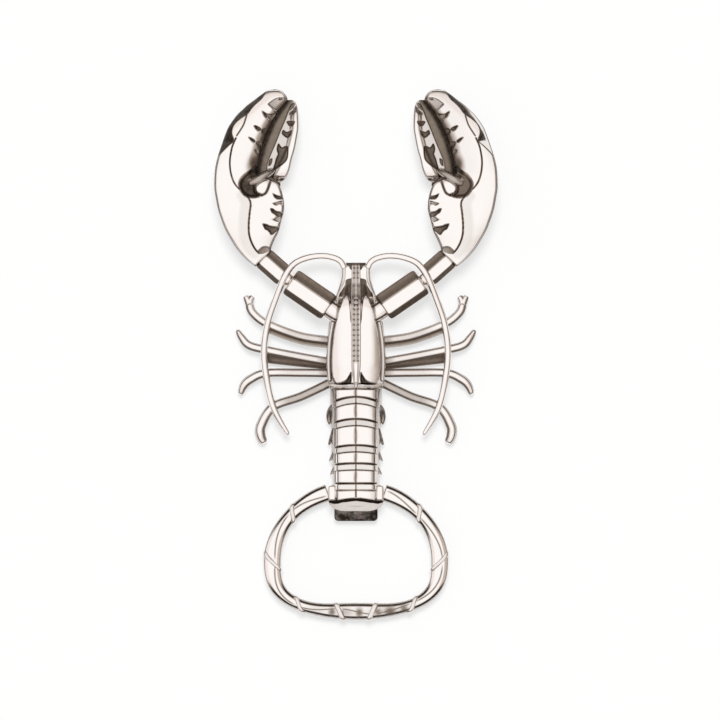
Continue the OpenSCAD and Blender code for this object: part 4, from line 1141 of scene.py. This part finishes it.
def hoop_facing(s):
    """How far the hoop runs from side to side there, from 0 to 1."""
    x0, y0 = hoop_at(np.clip(s - 1, 0, 2 * HOOP_TOTAL))
    x1, y1 = hoop_at(np.clip(s + 1, 0, 2 * HOOP_TOTAL))
    return ease(np.abs(x1 - x0) / np.hypot(x1 - x0, y1 - y0), 0.15, 0.75)


def hoop_band(s):
    """Width of the band, with a waist in the upper and in the lower stretch of each half."""
    share = np.minimum(s, 2 * HOOP_TOTAL - s) / HOOP_TOTAL
    upper, lower = HOOP_WAISTS
    return HOOP_BAND - np.where(
        share < HOOP_TURN,
        upper * np.sin(np.pi * share / HOOP_TURN) ** 2,
        lower * np.sin(np.pi * (share - HOOP_TURN) / (1 - HOOP_TURN)) ** 2,
    )


def hoop_stretch(s):
    """Number of the stretch between two lashings, and the share of it that is passed."""
    marks = np.r_[0, LASHING_PLACES, 2 - np.array(LASHING_PLACES)[::-1], 2] * HOOP_TOTAL
    k = np.clip(np.searchsorted(marks, s, side="right") - 1, 0, len(marks) - 2)
    return k, (s - marks[k]) / (marks[k + 1] - marks[k])


def ring_shape():
    """Hoop with a slanting crest on each stretch between two lashings."""
    size = bpy.context.scene.lobster_sizes
    low = (size.ring_level - size.ring_thickness / 2) / MM
    high = (size.ring_level + size.ring_thickness / 2) / MM

    def upper(q, s):
        k, t = hoop_stretch(s)
        half = hoop_band(s) / 2
        swell = np.sin(np.pi * np.clip(t, 0, 1)) ** 0.6
        crest = np.where(k % 2 == 0, 1, -1) * 0.32 * half * np.cos(np.pi * t)
        z = high - 0.3 * (1 - swell) - 0.2 * np.sqrt((q - crest) ** 2 + 0.1)
        z = z - (0.36 + 0.42 * hoop_facing(s)) * past(1.25 - (half - np.abs(q)))
        # Painted shade along the crest, in spots along the band, and through rim along its edges.
        cuts = Relief(q, s)
        cuts.add(bell(q - crest, 0.2) * ease(swell, 0.2, 0.7), 0.14, 0.7)
        for place, long, dark in HOOP_SHADES:
            cuts.spot((0.3, HOOP_TOTAL - place), (1.5, long), 0, 0.0, dark)
        return z - cuts.drop, cuts.dark

    rows = np.linspace(0, 2 * HOOP_TOTAL, 700)
    half = hoop_band(rows) / 2
    return slab("ring", rows, -half, half, upper, low, 0.35, 44, hoop_place, rim=0.35)


def lashing_shape(n, turn):
    """One strap wound around the hoop, slanting across its band."""
    size = bpy.context.scene.lobster_sizes
    level, thick = size.ring_level / MM, size.ring_thickness / MM
    a = np.linspace(0, 2 * np.pi, 72, endpoint=False)
    across = 0.5 * np.sign(np.cos(a)) * np.abs(np.cos(a)) ** 0.5
    rise = 0.5 * np.sign(np.sin(a)) * np.abs(np.sin(a)) ** 0.6
    b = np.linspace(0, 2 * np.pi, 16, endpoint=False)
    grow = 0.12 + 0.3 * np.sin(b)[None, :]
    s = LASHING_PLACES[n] * HOOP_TOTAL - LASHING_SLANTS[n] * across[:, None] + 0.82 * np.cos(b)[None, :]
    if turn < 0:
        s = 2 * HOOP_TOTAL - s
    x, y = hoop_place(across[:, None] * (hoop_band(s) + 2 * grow), s)
    z = level + rise[:, None] * (thick + 2 * np.where(rise[:, None] > 0, grow - 0.2, grow))
    rings = np.stack([x, y, z], axis=-1)
    rings = np.concatenate([rings, rings[:1]], axis=0)
    return drawn_over("lashing", rings, np.full(rings.shape[:2], 0.1))


# Properties


class LobsterSizes(bpy.types.PropertyGroup):
    """Sizes that the shapes are drawn from."""

    antenna_radius: FloatProperty(
        name="Antenna radius", description="Half the width of the antenna wire", default=0.00106,
        unit="LENGTH", subtype="DISTANCE",
    )
    ring_level: FloatProperty(
        name="Hoop level", description="Height of the middle of the hoop", default=0.00281,
        unit="LENGTH", subtype="DISTANCE",
    )
    ring_thickness: FloatProperty(
        name="Hoop thickness", description="Thickness of the hoop band", default=0.0042,
        unit="LENGTH", subtype="DISTANCE",
    )


class LobsterFinish(bpy.types.PropertyGroup):
    """Colours of the finishes."""

    plate: FloatVectorProperty(
        name="Plate", description="Colour of the polished nickel", default=(0.97, 0.94, 0.92),
        subtype="COLOR", min=0, max=1,
    )
    warm_plate: FloatVectorProperty(
        name="Warm plate", description="Colour of the nickel where it has yellowed",
        default=(0.95, 0.9, 0.865), subtype="COLOR", min=0, max=1,
    )
    # Brown of the patina and of the painted shade, halfway to black.
    tarnish_and_shade: FloatVectorProperty(
        name="Tarnish", description="Brown between the bright plate and the dark finish",
        default=(0.27, 0.22, 0.18), subtype="COLOR", min=0, max=1,
    )
    # Near-black of the patina and of the painted shade in recesses and on shaded flanks.
    patina: FloatVectorProperty(
        name="Patina", description="Dark finish in the recesses", default=(0.03, 0.023, 0.019),
        subtype="COLOR", min=0, max=1,
    )
    lip: FloatVectorProperty(
        name="Lip", description="Dark steel of the cap lip", default=(0.024, 0.019, 0.017),
        subtype="COLOR", min=0, max=1,
    )
    lip_worn: FloatVectorProperty(
        name="Worn lip", description="Rubbed steel of the cap lip", default=(0.42, 0.36, 0.32),
        subtype="COLOR", min=0, max=1,
    )
    floor: FloatVectorProperty(
        name="Floor", description="Colour of the studio floor", default=(0.16, 0.16, 0.16),
        subtype="COLOR", min=0, max=1,
    )


# Operators


class LOBSTER_OT_carapace(bpy.types.Operator):
    """Model the body with its two back lobes, the head and the side rims"""

    bl_idname = "lobster.carapace"
    bl_label = "Carapace"

    def execute(self, context):
        rows = np.linspace(*BODY_SPAN, 330)
        half = body_half(rows)
        side, edge = lobe_side(rows)[:, None], half[:, None]
        left, right = spread(-edge, -side, 24), spread(side, edge, 24)
        columns = np.concatenate([left[:, :-1], spread(-side, side, 150), right[:, 1:]], axis=1)
        body = slab("body", rows, -half, half, carapace_top, 0.0, 0.5, columns)
        path = rounded_ends(even_run(BODY_RIM, 120), 0.6, 0.6)
        # The side rims are painted with shade, more along their middle stretch.
        shade_and_dullness = 0.16 + 0.16 * ease(path[:, 1], 8.0, 16.0) * (1 - ease(path[:, 1], 20.0, 24.0))
        rim = swept("rim", path, circle(18), np.pad(shade_and_dullness, 1, mode="edge")[:, None])
        piece = joined("carapace_shape", [body, rim, mirrored(rim, "rim")])
        finish_piece(piece, casting(), "plated_casting", "carapace")
        return {"FINISHED"}


class LOBSTER_OT_ridge(bpy.types.Operator):
    """Model the beaded strip along the back"""

    bl_idname = "lobster.ridge"
    bl_label = "Back ridge"

    def execute(self, context):
        rows = np.linspace(*RIDGE_SPAN, 330)
        half = along(RIDGE_HALF, rows)
        piece = slab("back_ridge_shape", rows, -half, half, ridge_top, 6.0, 0.2, 40)
        finish_piece(piece, casting(), "plated_casting", "back_ridge")
        return {"FINISHED"}


class LOBSTER_OT_tail(bpy.types.Operator):
    """Model the five tail plates and the last segment"""

    bl_idname = "lobster.tail"
    bl_label = "Tail"

    def execute(self, context):
        for i in range(1, 6):
            finish_piece(plate_shape(i), casting(), "plated_casting", f"tail_plate_{i}")
        finish_piece(tail_end_shape(), casting(), "plated_casting", "tail_end")
        return {"FINISHED"}


class LOBSTER_OT_lip(bpy.types.Operator):
    """Model the dark lip that lifts the cap"""

    bl_idname = "lobster.lip"
    bl_label = "Cap lip"

    def execute(self, context):
        turn = np.linspace(0, 0.5 * np.pi, 24)
        rows = np.r_[LIP_TIP + LIP_CORNER * (1 - np.cos(turn)), np.linspace(-50.2, -46.0, 30)]
        half = 5.4 + np.sqrt(LIP_CORNER**2 - np.clip(-50.4 - rows, 0, LIP_CORNER) ** 2)
        piece = slab("cap_lip_shape", rows, -half, half, lip_top, 1.2, 0.45, 60)
        finish_piece(piece, lip_steel(), "lip_steel", "cap_lip")
        return {"FINISHED"}


class LOBSTER_OT_ring(bpy.types.Operator):
    """Model the hoop with its leaf-like facets, and the straps wound around it"""

    bl_idname = "lobster.ring"
    bl_label = "Hoop"

    def execute(self, context):
        piece = ring_shape()
        piece.name = "opener_ring_shape"
        finish_piece(piece, casting(), "plated_casting", "opener_ring")
        straps = [lashing_shape(n, turn) for turn in (1, -1) for n in range(4)]
        finish_piece(joined("ring_lashings_shape", straps), wire(), "plated_wire", "ring_lashings")
        return {"FINISHED"}


class LOBSTER_OT_arms(bpy.types.Operator):
    """Turn the shoulders and elbows, and draw the bars of the upper arms and forearms"""

    bl_idname = "lobster.arms"
    bl_label = "Arms"

    def execute(self, context):
        for stem, (start, angle, profile) in TURNINGS.items():
            both_sides(turned(stem, profile, start, angle), stem, casting(), "plated_casting")
        for stem, run in ARM_BARS.items():
            both_sides(arm_bar(stem, *run), stem, casting(), "plated_casting")
        return {"FINISHED"}


class LOBSTER_OT_claws(bpy.types.Operator):
    """Model the claws and their thumbs"""

    bl_idname = "lobster.claws"
    bl_label = "Claws"

    def execute(self, context):
        for side in ("left", "right"):
            claw = claw_shape(side)
            claw.name = "claw_shape_" + side
            if side == "left":
                turned_over(claw)
            finish_piece(claw, casting(), "plated_casting", "claw_" + side)
        both_sides(thumb_shape(), "thumb", casting(), "plated_casting")
        return {"FINISHED"}


class LOBSTER_OT_legs(bpy.types.Operator):
    """Model the eight bent legs"""

    bl_idname = "lobster.legs"
    bl_label = "Legs"

    def execute(self, context):
        for i in range(4):
            both_sides(leg_shape(i), f"leg_{i + 1}", wire(), "plated_wire")
        return {"FINISHED"}


class LOBSTER_OT_antennae(bpy.types.Operator):
    """Model the two bowed antennae"""

    bl_idname = "lobster.antennae"
    bl_label = "Antennae"

    def execute(self, context):
        both_sides(antenna_shape(), "antenna", wire(), "plated_wire")
        return {"FINISHED"}


class LOBSTER_OT_core(bpy.types.Operator):
    """Give the bar under the tail its plate, as it is seen only from below"""

    bl_idname = "lobster.core"
    bl_label = "Tail core"

    def execute(self, context):
        core = bpy.data.objects["tail_core"]
        core.data.materials.clear()
        core.data.materials.append(casting())
        return {"FINISHED"}


PHOTO_WIDTH, PHOTO_MIDDLE = 0.2232, (0.00124, -0.00186)  # what the camera takes in, in metres
CAMERA_HEIGHT, SENSOR_WIDTH = 1.6, 36
SUN_POWER, SUN_SPREAD, SUN_LEAN = 5.0, 24, -24  # power, angles in degrees
FLOOR_GLOW = 0.64  # what the floor adds where it is seen, straight or in the metal
WALL_RADIUS, WALL_HEIGHT, WALL_MIDDLE = 0.55, 0.62, (0, 0, 0.32)
PALE_LEFT, PALE_RIGHT = (0.92, 0.86, 0.84, 1), (0.56, 0.48, 0.42, 1)  # tones of the studio to each side
WALL_ENDS = (  # share of the height and colour, before and behind the opener
    (0.0, (0.02, 0.016, 0.015)), (0.22, (0.03, 0.025, 0.022)), (0.38, (0.16, 0.13, 0.11)),
    (0.52, (0.7, 0.64, 0.6)), (0.72, (0.9, 0.84, 0.81)),
)
WALL_FLANKS = (  # the same to the left and right, times the pale tones
    (0.0, (0.02, 0.016, 0.015)), (0.22, (0.04, 0.033, 0.03)), (0.5, (1, 1, 1)),
)


class LOBSTER_OT_stage(bpy.types.Operator):
    """Set the floor, the studio walls, the light and the camera"""

    bl_idname = "lobster.stage"
    bl_label = "Stage"

    def execute(self, context):
        look = context.scene.lobster_finish
        clear_selection()
        bpy.ops.mesh.primitive_plane_add(size=4)
        floor = context.object
        floor.name = "studio_floor"
        floor.data.materials.append(self.floor_finish(look))
        bpy.ops.mesh.primitive_cylinder_add(
            vertices=96, radius=WALL_RADIUS, depth=WALL_HEIGHT, end_fill_type="NOTHING", location=WALL_MIDDLE
        )
        wall = context.object
        wall.name = "studio_wall"
        bpy.ops.object.transform_apply(location=True, rotation=True, scale=True)
        wall.data.materials.append(self.wall_finish())
        wall.visible_camera = False
        wall.visible_diffuse = False
        wall.visible_shadow = False

        world = bpy.data.worlds.new("studio")
        context.scene.world = world
        world.use_nodes = True
        self.sky(world)

        bpy.ops.object.light_add(type="SUN", rotation=(math.radians(SUN_LEAN), 0, 0))
        sun = context.object
        sun.name = "studio_light"
        sun.data.energy = SUN_POWER
        sun.data.angle = math.radians(SUN_SPREAD)
        sun.visible_glossy = False

        lens = bpy.data.cameras.new("photo")
        lens.sensor_width = SENSOR_WIDTH
        lens.lens = SENSOR_WIDTH * CAMERA_HEIGHT / PHOTO_WIDTH
        lens.clip_end = 10
        camera = bpy.data.objects.new("photo", lens)
        context.scene.collection.objects.link(camera)
        camera.location = (*PHOTO_MIDDLE, CAMERA_HEIGHT)
        context.scene.camera = camera
        context.scene.view_settings.view_transform = "Standard"
        return {"FINISHED"}

    def sky(self, world):
        """White overhead, and a little warmer and greyer lower down."""
        place = node(world, "ShaderNodeTexCoord")
        split = node(world, "ShaderNodeSeparateXYZ")
        rise = node(
            world, "ShaderNodeMapRange", interpolation_type="SMOOTHSTEP", From_Min=0.64, From_Max=0.94
        )
        warm = node(
            world, "ShaderNodeMapRange", interpolation_type="SMOOTHSTEP", From_Min=-0.1, From_Max=0.55
        )
        low = node(world, "ShaderNodeMix", data_type="RGBA", A=PALE_LEFT, B=PALE_RIGHT)
        tone = node(world, "ShaderNodeMix", data_type="RGBA", B=(1.03, 1.02, 1.015, 1))
        link(
            world,
            (place, "Generated", split, "Vector"),
            (split, "Z", rise, "Value"),
            (split, "X", warm, "Value"),
            (warm, "Result", low, "Factor"),
            (low, "Result", tone, "A"),
            (rise, "Result", tone, "Factor"),
            (tone, "Result", world.node_tree.nodes["Background"], "Color"),
        )

    def floor_finish(self, look):
        """Pale floor that shows white to the eye and in the metal, and keeps the shadow."""
        material, shader = new_material("studio_floor")
        if shader is None:
            return material
        grain = node(material, "ShaderNodeTexNoise", Scale=60.0, Detail=2.0)
        place = node(material, "ShaderNodeTexCoord")
        worn_floor = [0.985 * v for v in look.floor]
        tone = node(material, "ShaderNodeMix", data_type="RGBA", A=(*look.floor, 1), B=(*worn_floor, 1))
        shader.inputs["Roughness"].default_value = 0.9
        shader.inputs["Specular IOR Level"].default_value = 0.0
        path = node(material, "ShaderNodeLightPath")
        seen = math_node(material, "ADD")
        every = math_node(material, "ADD", use_clamp=True)
        lift = math_node(material, "MULTIPLY", FLOOR_GLOW)
        glow = node(material, "ShaderNodeEmission")
        mix = node(material, "ShaderNodeAddShader")
        out = material.node_tree.nodes["Material Output"]
        link(
            material,
            (place, "Object", grain, "Vector"),
            (grain, "Fac", tone, "Factor"),
            (tone, "Result", shader, "Base Color"),
            (path, "Is Camera Ray", seen, 0),
            (path, "Is Glossy Ray", seen, 1),
            (seen, "Value", every, 0),
            (path, "Is Transmission Ray", every, 1),
            (every, "Value", lift, 0),
            (lift, "Value", glow, "Strength"),
            (shader, "BSDF", mix, 0),
            (glow, "Emission", mix, 1),
            (mix, "Shader", out, "Surface"),
        )
        return material

    def wall_finish(self):
        """Studio wall in the metal only: dark near the floor, and higher up pale to the left and right."""
        material, shader = new_material("studio_wall")
        if shader is None:
            return material
        place = node(material, "ShaderNodeTexCoord")
        split = node(material, "ShaderNodeSeparateXYZ")
        side = math_node(material, "ABSOLUTE")
        turn = node(
            material, "ShaderNodeMapRange", interpolation_type="SMOOTHSTEP", From_Min=0.42, From_Max=0.53
        )
        warm = node(material, "ShaderNodeMapRange", From_Min=-0.3, From_Max=0.3)
        pale = node(material, "ShaderNodeMix", data_type="RGBA", A=PALE_LEFT, B=PALE_RIGHT)
        ends, flanks = ramp(material, WALL_ENDS), ramp(material, WALL_FLANKS)
        rise = node(material, "ShaderNodeMapRange", From_Max=WALL_HEIGHT)
        tint = node(material, "ShaderNodeMix", data_type="RGBA", blend_type="MULTIPLY", Factor=1.0)
        tone = node(material, "ShaderNodeMix", data_type="RGBA")
        glow = node(material, "ShaderNodeEmission")
        out = material.node_tree.nodes["Material Output"]
        link(
            material,
            (place, "Object", split, "Vector"),
            (split, "X", side, 0),
            (side, "Value", turn, "Value"),
            (split, "X", warm, "Value"),
            (split, "Z", rise, "Value"),
            (rise, "Result", ends, "Fac"),
            (rise, "Result", flanks, "Fac"),
            (warm, "Result", pale, "Factor"),
            (flanks, "Color", tint, "A"),
            (pale, "Result", tint, "B"),
            (turn, "Result", tone, "Factor"),
            (ends, "Color", tone, "A"),
            (tint, "Result", tone, "B"),
            (tone, "Result", glow, "Color"),
            (glow, "Emission", out, "Surface"),
        )
        return material


OPERATORS = (
    LOBSTER_OT_carapace, LOBSTER_OT_ridge, LOBSTER_OT_tail, LOBSTER_OT_lip, LOBSTER_OT_ring,
    LOBSTER_OT_arms, LOBSTER_OT_claws, LOBSTER_OT_legs, LOBSTER_OT_antennae, LOBSTER_OT_core,
    LOBSTER_OT_stage,
)


class LOBSTER_PT_pieces(bpy.types.Panel):
    """Pieces of the opener, in the order in which they are made"""

    bl_idname = "LOBSTER_PT_pieces"
    bl_label = "Lobster opener"
    bl_space_type = "VIEW_3D"
    bl_region_type = "UI"
    bl_category = "Lobster"

    def draw(self, context):
        for group in (context.scene.lobster_sizes, context.scene.lobster_finish):
            box = self.layout.box()
            for key in group.__annotations__:
                box.prop(group, key)
        for operator in OPERATORS:
            self.layout.operator(operator.bl_idname)


CLASSES = (LobsterSizes, LobsterFinish, *OPERATORS, LOBSTER_PT_pieces)


def register():
    """Registers the classes and gives the scene its sizes and finishes."""
    for kind in CLASSES:
        bpy.utils.register_class(kind)
    bpy.types.Scene.lobster_sizes = PointerProperty(type=LobsterSizes)
    bpy.types.Scene.lobster_finish = PointerProperty(type=LobsterFinish)


def unregister():
    """Takes back what register() did."""
    del bpy.types.Scene.lobster_finish
    del bpy.types.Scene.lobster_sizes
    for kind in reversed(CLASSES):
        bpy.utils.unregister_class(kind)


def main():
    """Makes the pieces and the stage."""
    register()
    for operator in OPERATORS:
        group, name = operator.bl_idname.split(".")
        getattr(getattr(bpy.ops, group), name)()


if __name__ == "__main__":
    main()
